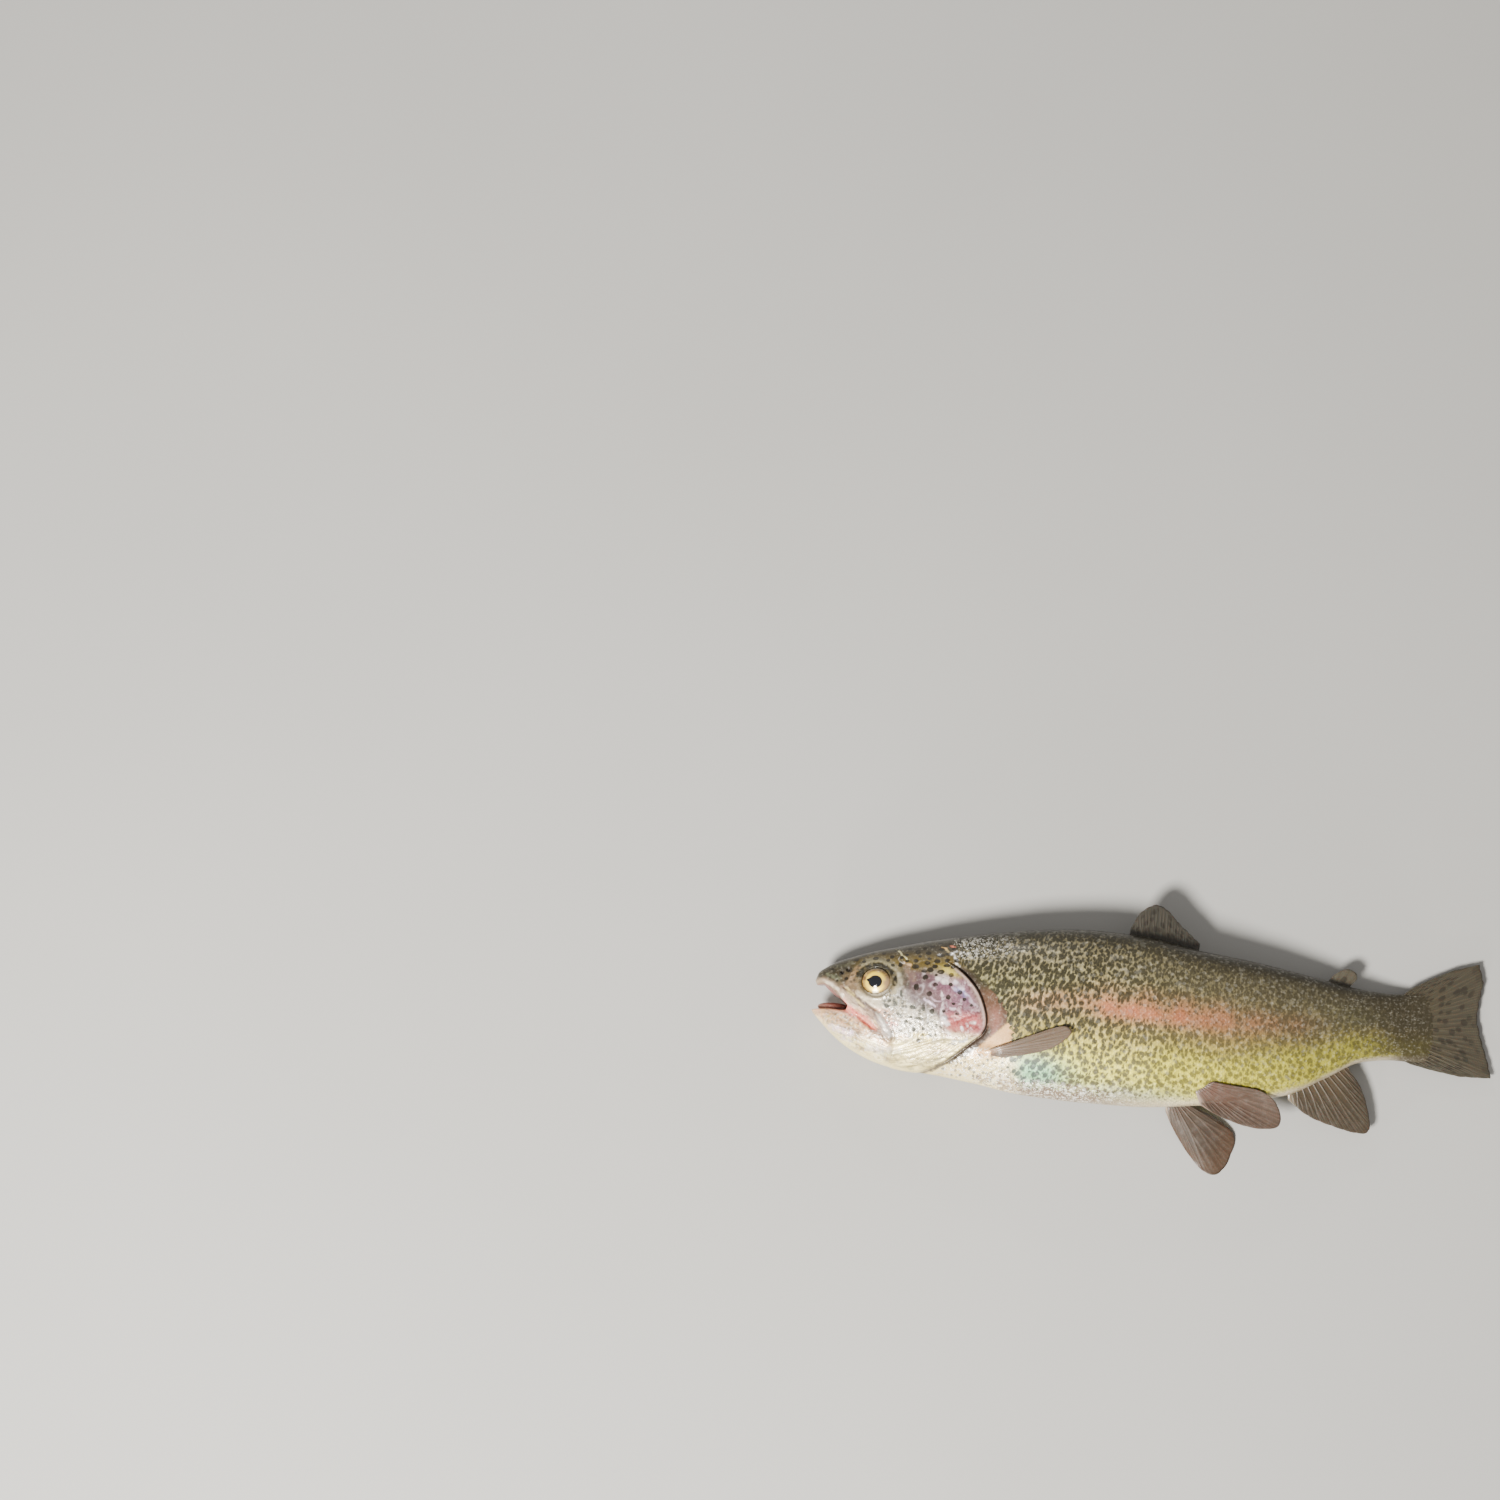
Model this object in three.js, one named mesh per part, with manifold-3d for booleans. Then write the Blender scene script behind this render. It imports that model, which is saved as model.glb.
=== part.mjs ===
// A still, life-size rainbow trout about 26 cm long, lying on its right side
// with its mouth a little open.
//
// Units are millimetres, +Z is up. The head points to -X, the tail to +X, the
// back to +Y and the left flank faces up. The floor is z = 0.
//
// The fish is first laid out straight about its own middle plane (z = 0 in the
// layout, left side positive), divided there with thin cuts, and then lowered
// on to the floor: the middle plane sinks towards the thin ends, as a limp fish
// does, and the flesh that would pass through the floor is pressed flat.
import * as THREE from 'three';
import { mergeVertices } from 'three/addons/utils/BufferGeometryUtils.js';
import Module from 'manifold-3d';

const wasm = await Module();
wasm.setup();

// ---------------------------------------------------------------- dimensions
const GAP = 0.3;                 // clearance between neighbouring pieces
const SECTION_POWER = 2.15;      // 2 is an ellipse, more is fuller
const EGG = 0.07;                // how much slimmer the back is than the belly
const ROUND = 28;                // facets round the body
const FIN_EDGE = 0.6;            // thickness of a fin at its free edge
const GILL_PLATE = 2.2;          // thickness of a gill cover
const MAXILLA_PLATE = 1.3;       // thickness of the upper jaw strap
const TAIL_START = 179;          // the vent, where the tail stalk begins
const TAIL_END = 224;            // where the tail fin begins

// Stations along the upper head and body: distance from the snout, height of
// the back, height of the belly, half the breadth.
const BODY = [
  [-2.4, 6.6, 4.4, 0.9],
  [-1.2, 8.6, 0.6, 3.2],
  [1.2, 10.4, -3.6, 5.0],
  [5.0, 12.5, -9.5, 6.7],
  [10.0, 14.4, -17.0, 8.3],
  [20.0, 17.6, -25.1, 11.0],
  [31.0, 20.2, -28.2, 12.9],
  [44.0, 23.1, -29.4, 14.2],
  [60.0, 25.7, -31.9, 15.4],
  [80.0, 28.3, -35.4, 16.7],
  [101.0, 29.6, -36.9, 17.2],
  [122.0, 28.3, -37.4, 17.0],
  [144.0, 24.1, -35.8, 15.9],
  [165.0, 21.1, -32.8, 13.6],
  [180.0, 18.4, -29.7, 11.6],
  [195.0, 15.5, -22.4, 9.3],
  [209.0, 12.9, -15.4, 7.1],
  [221.0, 12.0, -14.0, 5.3],
  [230.0, 13.2, -14.4, 3.6],
];
// The lower jaw, a boat that juts just past the snout.
const JAW = [
  [-4.5, -5.9, -7.2, 1.2],
  [-3.4, -5.2, -8.4, 3.2],
  [-1.6, -4.9, -10.3, 4.6],
  [1.5, -4.7, -13.3, 5.7],
  [6.0, -4.6, -17.2, 7.0],
  [12.0, -3.0, -21.4, 8.2],
  [20.0, -2.0, -25.1, 9.9],
  [30.0, -2.0, -28.0, 11.8],
];
// Height of the fish's middle plane over the floor.
const REST = [[-6, 10.6], [20, 12.0], [35, 13.0], [50, 14.2], [85, 15.9], [125, 15.9], [165, 12.8], [200, 8.6], [225, 5.2], [262, 2.4]];

const EYE = { x: 21.1, y: 4.7, radius: 5.9, depth: 3.4, out: 9.3, tilt: 0.17 };
const ARC = { top: [47.5, 34], bulge: [62.8, -10.5], bottom: [40.5, -38] };   // rear edge of the head

// ------------------------------------------------------------------- helpers
// Smooth interpolation through a table that never overshoots its stations.
function smooth(table, column) {
  const x = table.map((r) => r[0]);
  const y = table.map((r) => r[column]);
  const n = x.length;
  const d = [];
  for (let i = 0; i < n - 1; i++) d.push((y[i + 1] - y[i]) / (x[i + 1] - x[i]));
  const m = [d[0]];
  for (let i = 1; i < n - 1; i++) {
    if (d[i - 1] * d[i] <= 0) { m.push(0); continue; }
    const a = 2 * (x[i + 1] - x[i]) + (x[i] - x[i - 1]);
    const b = (x[i + 1] - x[i]) + 2 * (x[i] - x[i - 1]);
    m.push((a + b) / (a / d[i - 1] + b / d[i]));
  }
  m.push(d[n - 2]);
  return (v) => {
    const c = Math.min(Math.max(v, x[0]), x[n - 1]);
    let i = 0;
    while (i < n - 2 && c > x[i + 1]) i++;
    const h = x[i + 1] - x[i];
    const t = (c - x[i]) / h;
    const t2 = t * t;
    const t3 = t2 * t;
    return (2 * t3 - 3 * t2 + 1) * y[i] + (t3 - 2 * t2 + t) * h * m[i]
      + (3 * t2 - 2 * t3) * y[i + 1] + (t3 - t2) * h * m[i + 1];
  };
}
const spow = (v, p) => Math.sign(v) * Math.abs(v) ** p;
const lerp = (a, b, t) => a + (b - a) * t;
const restHeight = smooth(REST, 1);

function toSolid(geometry) {
  const g = geometry.clone();
  g.deleteAttribute('normal');
  g.deleteAttribute('uv');
  const m = mergeVertices(g, 1e-4);
  return new wasm.Manifold(new wasm.Mesh({
    numProp: 3,
    vertProperties: new Float32Array(m.attributes.position.array),
    triVerts: new Uint32Array(m.index.array),
  }));
}
function toGeometry(solid) {
  const mesh = solid.getMesh();
  const g = new THREE.BufferGeometry();
  const p = new Float32Array(mesh.numVert * 3);
  for (let i = 0; i < mesh.numVert; i++)
    for (let k = 0; k < 3; k++) p[i * 3 + k] = mesh.vertProperties[i * mesh.numProp + k];
  g.setAttribute('position', new THREE.BufferAttribute(p, 3));
  g.setIndex(new THREE.BufferAttribute(new Uint32Array(mesh.triVerts), 1));
  return g;
}
// A closed skin over a stack of rings, each an array of [x, y, z], with the two
// end rings filled.
function skinRings(rings) {
  const n = rings[0].length;
  const p = [];
  const f = [];
  for (const r of rings) for (const v of r) p.push(...v);
  const q = (i, j) => i * n + (j % n);
  for (let i = 0; i < rings.length - 1; i++)
    for (let j = 0; j < n; j++)
      f.push(q(i, j), q(i + 1, j + 1), q(i + 1, j), q(i, j), q(i, j + 1), q(i + 1, j + 1));
  for (const [i, flip] of [[0, false], [rings.length - 1, true]]) {
    const c = [0, 1, 2].map((k) => rings[i].reduce((s, v) => s + v[k], 0) / n);
    const id = p.length / 3;
    p.push(...c);
    for (let j = 0; j < n; j++) f.push(...(flip ? [id, q(i, j), q(i, j + 1)] : [id, q(i, j + 1), q(i, j)]));
  }
  const g = new THREE.BufferGeometry();
  g.setAttribute('position', new THREE.BufferAttribute(new Float32Array(p), 3));
  g.setIndex(f);
  return g;
}
// The body or jaw as one loft, grown outwards by `grow`.
function loft(table, xs, grow = 0, facets = ROUND) {
  const back = smooth(table, 1);
  const belly = smooth(table, 2);
  const half = smooth(table, 3);
  const first = table[0][0];
  const last = table[table.length - 1][0];
  return toSolid(skinRings(xs.map((x) => {
    const mid = (back(x) + belly(x)) / 2;
    const tall = Math.max((back(x) - belly(x)) / 2 + grow, 0.2);
    const wide = Math.max(half(x) + grow, 0.2);
    const at = x <= first ? first - grow : x >= last ? last + grow : x;
    return Array.from({ length: facets }, (_, j) => {
      const a = (j / facets) * 2 * Math.PI;
      const c = spow(Math.cos(a), 2 / SECTION_POWER);
      const s = spow(Math.sin(a), 2 / SECTION_POWER);
      return [at, mid + tall * c, wide * s * (1 - EGG * c)];
    });
  })));
}
function steps(from, to, size) {
  const n = Math.max(1, Math.round((to - from) / size));
  return Array.from({ length: n + 1 }, (_, i) => lerp(from, to, i / n));
}
// A prism through the fish with the given outline in the side view.
function prism(outline, z0, z1, grow = 0) {
  let pts = outline.map(([x, y]) => new THREE.Vector2(x, y));
  if (THREE.ShapeUtils.isClockWise(pts)) pts = pts.reverse();
  if (grow) {
    const n = pts.length;
    pts = pts.map((v, i) => {
      const a = v.clone().sub(pts[(i + n - 1) % n]).normalize();
      const b = pts[(i + 1) % n].clone().sub(v).normalize();
      const d = new THREE.Vector2(a.y + b.y, -a.x - b.x).normalize();
      return v.clone().addScaledVector(d, grow / Math.max(0.5, d.dot(new THREE.Vector2(a.y, -a.x))));
    });
  }
  const g = new THREE.ExtrudeGeometry(new THREE.Shape(pts), { depth: z1 - z0, bevelEnabled: false, steps: 1 });
  g.translate(0, 0, z0);
  return toSolid(g);
}
// A strap that follows a curve in the side view, `a` wide at its start and `b`
// at its end, with a rounded end.
function strap(points, a, b, n = 10) {
  const curve = new THREE.SplineCurve(points.map(([x, y]) => new THREE.Vector2(x, y)));
  const up = [];
  const down = [];
  for (let i = 0; i <= n; i++) {
    const p = curve.getPoint(i / n);
    const t = curve.getTangent(i / n);
    const w = lerp(a, b, i / n) / 2;
    up.push([p.x - t.y * w, p.y + t.x * w]);
    down.push([p.x + t.y * w, p.y - t.x * w]);
  }
  const end = curve.getPoint(1);
  const t = curve.getTangent(1);
  const cap = [];
  for (let i = 1; i < 4; i++) {
    const an = (i / 4) * Math.PI;
    const c = Math.cos(an) * (b / 2);
    const s = Math.sin(an) * (b / 2);
    cap.push([end.x - t.y * c + t.x * s, end.y + t.x * c + t.y * s]);
  }
  return [...up, ...cap, ...down.reverse()];
}
// A fin as a thin closed plate. `root(s)` and `edge(s)` give the ends of the
// ray at s = 0..1; the plate thins from `thick` at the root to FIN_EDGE.
function fin(root, edge, thick, rays = 14, rows = 5, normal = [0, 0, 1]) {
  const N = new THREE.Vector3(...normal).normalize();
  const rings = [];
  for (let i = 0; i <= rays; i++) {
    const s = i / rays;
    const a = new THREE.Vector3(...root(s));
    const b = new THREE.Vector3(...edge(s));
    const side = (sign, k) => {
      const t = k / rows;
      const h = 0.5 * lerp(thick, FIN_EDGE, Math.sqrt(t)) * (s === 0 || s === 1 ? 0.8 : 1);
      const p = a.clone().lerp(b, t).addScaledVector(N, sign * h);
      return [p.x, p.y, p.z];
    };
    const ring = [];
    for (let k = 0; k <= rows; k++) ring.push(side(1, k));
    for (let k = rows; k >= 0; k--) ring.push(side(-1, k));
    rings.push(ring);
  }
  let s = toSolid(skinRings(rings));
  if (s.volume() < 0) s = toSolid(skinRings(rings.reverse()));
  return s;
}
// A point on a polyline of [x, y, z] at s = 0..1, by length.
function along(points) {
  const path = new THREE.CurvePath();
  for (let i = 0; i < points.length - 1; i++)
    path.add(new THREE.LineCurve3(new THREE.Vector3(...points[i]), new THREE.Vector3(...points[i + 1])));
  return (s) => path.getPoint(Math.min(s, 0.99999)).toArray();
}
function rounded(points) {
  const c = new THREE.CatmullRomCurve3(points.map((p) => new THREE.Vector3(...p)), false, 'centripetal');
  return (s) => c.getPoint(s).toArray();
}

// -------------------------------------------------------------- body and head
const bodySteps = [-2.4, -1.9, -0.8, ...steps(1.2, 12, 2.7), ...steps(16, 66, 4.6), ...steps(74, 222, 9), 230];
const body = loft(BODY, bodySteps);
const headSteps = bodySteps.filter((x) => x < 84);
const near = (grow) => loft(BODY, headSteps, grow);      // the front half only, for cutting the head

// The rear edge of the head runs along the gill opening.
function arcPoints(shift, n = 12) {
  const c = new THREE.QuadraticBezierCurve(
    new THREE.Vector2(ARC.top[0] + shift, ARC.top[1]),
    new THREE.Vector2(2 * ARC.bulge[0] - (ARC.top[0] + ARC.bottom[0]) / 2 + shift, ARC.bulge[1] + 3),
    new THREE.Vector2(ARC.bottom[0] + shift, ARC.bottom[1]));
  return c.getPoints(n).map((p) => [p.x, p.y]);
}
const headZone = prism([[-12, 34], ...arcPoints(0), [-12, -38]], -25, 25);
const bodyZone = prism([...arcPoints(GAP), [240, -60], [240, 60]], -25, 25);
const slab = (x0, x1) => prism([[x0, -70], [x1, -70], [x1, 70], [x0, 70]], -40, 40);

// Lower jaw: everything below the gape, back to the jaw joint.
const jawLine = [[-8, -5.4], [-3, -5.5], [3, -5.3], [9.6, -5.0], [12.5, -7.6], [19, -12.3], [27.3, -15.6], [28.2, -20], [26.6, -34], [-8, -34]];
const gape = [[-9, -5.5], [-9, 3.2], [-1.7, 3.3], [1.6, 3.6], [5.2, 0.4], [9.4, -3.6], [11.4, -5.4], [9, -5.6]];
const jaw = loft(JAW, [-4.5, -4.1, -3.2, ...steps(-1.6, 30, 3.6)], 0, 22);
// The mouth runs back into the head between the jaws.
const throat = new THREE.SphereGeometry(1, 14, 8);
throat.scale(15, 3.6, 5.2);
throat.rotateZ(-0.42);
throat.translate(8, -4.6, 0);
const throatSolid = toSolid(throat);

const maxillaLine = strap([[7.4, 2.2], [12.2, -2.0], [17.6, -6.6], [22.4, -11.2], [26.0, -14.6]], 2.0, 4.0);
const gillPlate = [[43.4, -26.6], [41.2, -22], [42.0, -12], [41.6, 0], [43.0, 10.5], [49, 12.6]];
const gillOutline = (grow) => [...gillPlate, ...arcPoints(-0.5 + grow).filter(([, y]) => y < 12.4 && y > -27.5)];

const orbit = (grow, side) => {
  const g = new THREE.SphereGeometry(1, 18, 10);
  g.rotateX(Math.PI / 2);
  g.scale(EYE.radius + grow, EYE.radius * 0.95 + grow, EYE.depth + grow);
  g.rotateY(-EYE.tilt * side);
  g.translate(EYE.x, EYE.y, EYE.out * side - 1.1 * side);
  return toSolid(g);
};

let head = body.intersect(headZone)
  .subtract(prism(jawLine, -25, 25, GAP))
  .subtract(prism(gape, -25, 25))
  .subtract(throatSolid);
let lowerJaw = jaw.intersect(prism(jawLine, -25, 25)).subtract(prism(gape, -25, 25)).subtract(throatSolid);
const pieces = {};
for (const [name, side] of [['left', 1], ['right', -1]]) {
  const [z0, z1] = side > 0 ? [2, 25] : [-25, -2];
  const cover = body.subtract(near(-GILL_PLATE)).intersect(prism(gillOutline(0), z0, z1));
  const strapZone = prism(maxillaLine, z0, z1);
  const strapRoom = prism(maxillaLine, z0, z1, GAP);
  const plate = near(0.45).subtract(near(0.45 - MAXILLA_PLATE)).intersect(strapZone);
  head = head
    .subtract(prism(gillOutline(0.6), z0, z1, GAP).subtract(near(-GILL_PLATE - GAP)))
    .subtract(strapRoom.subtract(near(0.45 - MAXILLA_PLATE - GAP)))
    .subtract(orbit(GAP, side));
  lowerJaw = lowerJaw.subtract(strapRoom);
  pieces[`gill_cover_${name}`] = cover;
  pieces[`maxilla_${name}`] = plate.subtract(throatSolid);
  pieces[`eye_${name}`] = orbit(0, side);
}
pieces.head = head;
pieces.lower_jaw = lowerJaw;

const rear = body.intersect(bodyZone);
pieces.trunk = rear.intersect(slab(0, TAIL_START));
pieces.tail_stalk = rear.intersect(slab(TAIL_START + GAP, TAIL_END));

// ----------------------------------------------------------------------- fins
const clearOfBody = (f) => f.subtract(loft(BODY, bodySteps, GAP));
pieces.fin_dorsal = clearOfBody(fin(
  along([[117.2, 24.5, 0], [144.0, 19.5, 0]]),
  rounded([[118.2, 31.2, 0], [121.6, 37.2, 0], [127.0, 40.8, -0.4], [131.6, 39.6, -0.6], [135.8, 35.4, -0.4], [140.2, 31.2, -0.2], [145.2, 26.6, 0]]),
  2.2));
pieces.fin_adipose = clearOfBody(fin(
  along([[194.5, 12.0, 0], [202.0, 10.0, 0]]),
  rounded([[195.6, 15.8, 0], [198.6, 18.6, 0], [202.8, 20.4, 0], [206.2, 19.0, 0], [206.4, 16.4, 0], [203.4, 14.8, 0]]),
  1.8, 8, 3));
pieces.fin_anal = clearOfBody(fin(
  along([[180.0, -26.0, 0], [202.5, -14.6, 0]]),
  rounded([[180.6, -31.2, 0], [188.0, -36.6, -0.3], [197.2, -40.0, -0.6], [208.2, -42.4, -1.0], [212.8, -40.6, -1.0], [211.4, -31.0, -0.6], [208.6, -24.0, -0.3], [204.4, -18.8, 0]]),
  2.0, 14, 5));
pieces.fin_caudal = fin(
  along([[TAIL_END + GAP, 11.4, 0], [TAIL_END + GAP, -13.2, 0]]),
  along([[227.5, 14.2, 0], [235, 18.2, 0], [244, 22.4, 0], [254.6, 25.4, 0], [256.2, 18.4, -0.2], [254.6, 10.6, -0.3], [253.8, 4.0, -0.3], [255.2, -3.0, -0.3], [257.8, -11.0, -0.2], [259.4, -18.6, 0], [247, -18.6, 0], [236, -16.6, 0], [228, -14.8, 0]]),
  5.6, 26, 5);
// Each paired fin has its own pose.
const pectoral = {
  root: [[64.4, -18.8, 13.2], [67.6, -23.2, 12.2]],
  edge: [[68.6, -17.4, 14.6], [78.0, -14.6, 16.6], [88.0, -11.4, 18.2], [94.6, -10.8, 19.2], [96.0, -13.0, 19.0], [90.0, -17.2, 18.0], [80.0, -20.8, 16.4], [71.0, -23.2, 14.6]],
};
pieces.fin_pectoral_left = clearOfBody(fin(along(pectoral.root), rounded(pectoral.edge), 1.6, 14, 5, [-0.1, 0.25, 1]));
// The right one is pressed flat between flank and floor.
const flatPectoral = [[64.4, -17.2], [80, -13.4], [92, -11.6], [97.4, -12.8], [96.4, -16.6], [88, -20.4], [76, -23.2], [68.4, -23.4]];
pieces.fin_pectoral_right = prism(flatPectoral, -25, -2)
  .intersect(loft(BODY, bodySteps, GAP + 0.8)).subtract(loft(BODY, bodySteps, GAP));
pieces.fin_pelvic_left = clearOfBody(fin(
  along([[143.6, -31.0, 6.4], [149.6, -28.0, 7.6]]),
  rounded([[146.0, -35.4, 6.6], [153.0, -39.0, 5.8], [164.0, -42.4, 4.4], [172.6, -43.0, 3.4], [177.4, -40.6, 3.2], [175.6, -33.4, 5.0], [168.8, -29.0, 7.4], [158.0, -28.0, 8.8], [151.4, -27.0, 9.4]]),
  1.8, 14, 5, [0, 0.2, 1]));
pieces.fin_pelvic_right = clearOfBody(fin(
  along([[134.0, -34.0, -6.0], [141.0, -33.0, -7.4]]),
  rounded([[134.6, -38.0, -9.4], [137.8, -44.0, -12.4], [143.6, -52.6, -14.4], [150.6, -60.0, -15.1], [156.4, -60.4, -14.7], [160.6, -54.0, -13.7], [161.8, -45.2, -12.2], [153.0, -38.6, -11.6], [144.0, -35.8, -9.6]]),
  1.8, 14, 5, [0, -0.3, 1]));

// ----------------------------------------------------- laying it on the floor
const air = (() => {
  const g = new THREE.BoxGeometry(400, 200, 100);
  g.translate(120, 0, 50);
  return toSolid(g);
})();
const laid = (solid) => solid.warp((v) => { v[2] += restHeight(v[0]); }).intersect(air);

const finish = {
  head: ['#6f6a48', 0.35], lower_jaw: ['#cfcabb', 0.35], maxilla: ['#b9aeb4', 0.35], gill_cover: ['#a58a9c', 0.3],
  eye: ['#b99a4c', 0.15], trunk: ['#80804f', 0.38], tail_stalk: ['#7b7448', 0.38], fin: ['#8a7d77', 0.5],
};
const trout = new THREE.Group();
trout.name = 'rainbow_trout';
const order = ['head', 'lower_jaw', 'maxilla_left', 'maxilla_right', 'gill_cover_left', 'gill_cover_right', 'eye_left', 'eye_right',
  'trunk', 'tail_stalk', 'fin_dorsal', 'fin_adipose', 'fin_anal', 'fin_caudal', 'fin_pectoral_left', 'fin_pectoral_right',
  'fin_pelvic_left', 'fin_pelvic_right'];
for (const name of order) {
  const parts = laid(pieces[name]).decompose().sort((a, b) => b.volume() - a.volume());
  const look = finish[Object.keys(finish).find((k) => name.startsWith(k))];
  const mesh = new THREE.Mesh(toGeometry(parts[0]), new THREE.MeshStandardMaterial({ color: look[0], roughness: look[1], metalness: 0 }));
  mesh.name = name;
  trout.add(mesh);
}
// The origin is under the middle of the whole fish.
const box = new THREE.Box3().setFromObject(trout);
const mid = box.getCenter(new THREE.Vector3());
trout.position.set(-mid.x, -mid.y, -box.min.z);
trout.updateMatrixWorld(true);

export default trout;
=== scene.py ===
import math

import bpy
import numpy as np
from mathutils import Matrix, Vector


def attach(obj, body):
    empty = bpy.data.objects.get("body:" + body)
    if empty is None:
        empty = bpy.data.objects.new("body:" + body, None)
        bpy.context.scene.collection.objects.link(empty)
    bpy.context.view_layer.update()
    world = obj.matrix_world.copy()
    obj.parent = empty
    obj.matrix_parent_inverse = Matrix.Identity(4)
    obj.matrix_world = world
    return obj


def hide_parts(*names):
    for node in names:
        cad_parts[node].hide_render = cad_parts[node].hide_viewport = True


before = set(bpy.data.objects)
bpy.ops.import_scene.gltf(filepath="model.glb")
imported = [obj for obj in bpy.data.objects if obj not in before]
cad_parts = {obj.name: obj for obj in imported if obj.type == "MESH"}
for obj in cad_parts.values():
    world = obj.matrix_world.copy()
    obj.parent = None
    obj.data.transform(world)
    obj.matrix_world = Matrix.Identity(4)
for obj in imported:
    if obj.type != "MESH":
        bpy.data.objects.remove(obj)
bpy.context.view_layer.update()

RNG = np.random.default_rng(7)

# The fish is worked out straight, in millimetres, in the CAD's own layout: x from the snout to the
# tail, y towards the back, z out of the left flank from the fish's middle plane. to_world() then
# lowers it on to the floor the way the CAD does, and shifts it to the row's origin.
MX, MY = 127.353, -9.074


# ------------------------------------------------------------------ small maths
def pchip(xs, ys):
    xs = np.asarray(xs, float)
    ys = np.asarray(ys, float)
    h = np.diff(xs)
    d = np.diff(ys) / h
    m = np.zeros(len(xs))
    m[0], m[-1] = d[0], d[-1]
    for i in range(1, len(xs) - 1):
        if d[i - 1] * d[i] > 0:
            a = 2 * h[i] + h[i - 1]
            b = h[i] + 2 * h[i - 1]
            m[i] = (a + b) / (a / d[i - 1] + b / d[i])

    def f(v):
        v = np.clip(np.asarray(v, float), xs[0], xs[-1])
        i = np.clip(np.searchsorted(xs, v, side="right") - 1, 0, len(xs) - 2)
        t = (v - xs[i]) / h[i]
        t2 = t * t
        t3 = t2 * t
        return ((2 * t3 - 3 * t2 + 1) * ys[i] + (t3 - 2 * t2 + t) * h[i] * m[i]
                + (3 * t2 - 2 * t3) * ys[i + 1] + (t3 - t2) * h[i] * m[i + 1])

    return f


def sstep(a, b, v):
    t = np.clip((v - a) / (b - a), 0.0, 1.0)
    return t * t * (3 - 2 * t)


def gauss(v, s):
    return np.exp(-(v / s) ** 2)


def smin(a, b, k):
    h = np.clip(0.5 + 0.5 * (b - a) / k, 0, 1)
    return b + (a - b) * h - k * h * (1 - h)


def smax(a, b, k):
    return -smin(-a, -b, k)


def poly_dist(x, y, pts, closed=True):
    """Distance to a polyline; signed, negative inside, where it is closed."""
    pts = np.asarray(pts, float)
    n = len(pts)
    best = np.full(np.broadcast(x, y).shape, 1e9)
    sign = np.ones(best.shape)
    for i in range(n if closed else n - 1):
        ax, ay = pts[i]
        bx, by = pts[(i + 1) % n]
        ex, ey = bx - ax, by - ay
        wx, wy = x - ax, y - ay
        t = np.clip((wx * ex + wy * ey) / (ex * ex + ey * ey), 0, 1)
        best = np.minimum(best, (wx - ex * t) ** 2 + (wy - ey * t) ** 2)
        if closed:
            c1 = y >= ay
            c2 = y < by
            c3 = ex * wy > ey * wx
            flip = (c1 & c2 & c3) | (~c1 & ~c2 & ~c3)
            sign = np.where(flip, -sign, sign)
    return np.sqrt(best) * sign


def spline(pts, n=8):
    """Catmull-Rom points through a short list."""
    p = np.asarray(pts, float)
    p = np.vstack([2 * p[0] - p[1], p, 2 * p[-1] - p[-2]])
    out = []
    for i in range(1, len(p) - 2):
        for k in range(n):
            t = k / n
            out.append(0.5 * ((2 * p[i]) + (p[i + 1] - p[i - 1]) * t + (2 * p[i - 1] - 5 * p[i] + 4 * p[i + 1] - p[i + 2]) * t * t
                              + (3 * p[i] - p[i - 1] - 3 * p[i + 1] + p[i + 2]) * t ** 3))
    out.append(p[-2])
    return np.array(out)


def side_of(x, y, pts):
    """Signed distance to an open curve: positive on the right hand of its direction."""
    pts = np.asarray(pts, float)
    best = np.full(np.broadcast(x, y).shape, 1e9)
    sg = np.ones(best.shape)
    run = np.zeros(best.shape)
    total = 0.0
    for i in range(len(pts) - 1):
        ax, ay = pts[i]
        bx, by = pts[i + 1]
        ex, ey = bx - ax, by - ay
        ln = math.hypot(ex, ey)
        wx, wy = x - ax, y - ay
        t = np.clip((wx * ex + wy * ey) / (ln * ln), 0, 1)
        d = (wx - ex * t) ** 2 + (wy - ey * t) ** 2
        near = d < best
        best = np.where(near, d, best)
        sg = np.where(near, np.where(wx * ey - wy * ex >= 0, 1.0, -1.0), sg)
        run = np.where(near, total + t * ln, run)
        total += ln
    return np.sqrt(best) * sg, run / total


# ------------------------------------------------------------------ body tables
POWER, EGG = 2.15, 0.07
BODY = np.array([
    [-2.4, 6.6, 4.4, 0.9], [-1.2, 8.6, 0.6, 3.2], [1.2, 10.4, -3.6, 5.0], [5.0, 12.5, -9.5, 6.7],
    [10.0, 14.4, -17.0, 8.3], [20.0, 17.6, -25.1, 11.0], [31.0, 20.2, -28.2, 12.9], [44.0, 23.1, -29.4, 14.2],
    [60.0, 25.7, -31.9, 15.4], [80.0, 28.3, -35.4, 16.7], [101.0, 29.6, -36.9, 17.2], [122.0, 28.3, -37.4, 17.0],
    [144.0, 24.1, -35.8, 15.9], [165.0, 21.1, -32.8, 13.6], [180.0, 18.4, -29.7, 11.6], [195.0, 15.5, -22.4, 9.3],
    [209.0, 12.9, -15.4, 7.1], [221.0, 12.0, -14.0, 5.1], [227.0, 12.5, -14.2, 3.5], [232.0, 13.2, -14.6, 2.1],
    [237.5, 13.6, -15.0, 0.5]])
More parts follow.
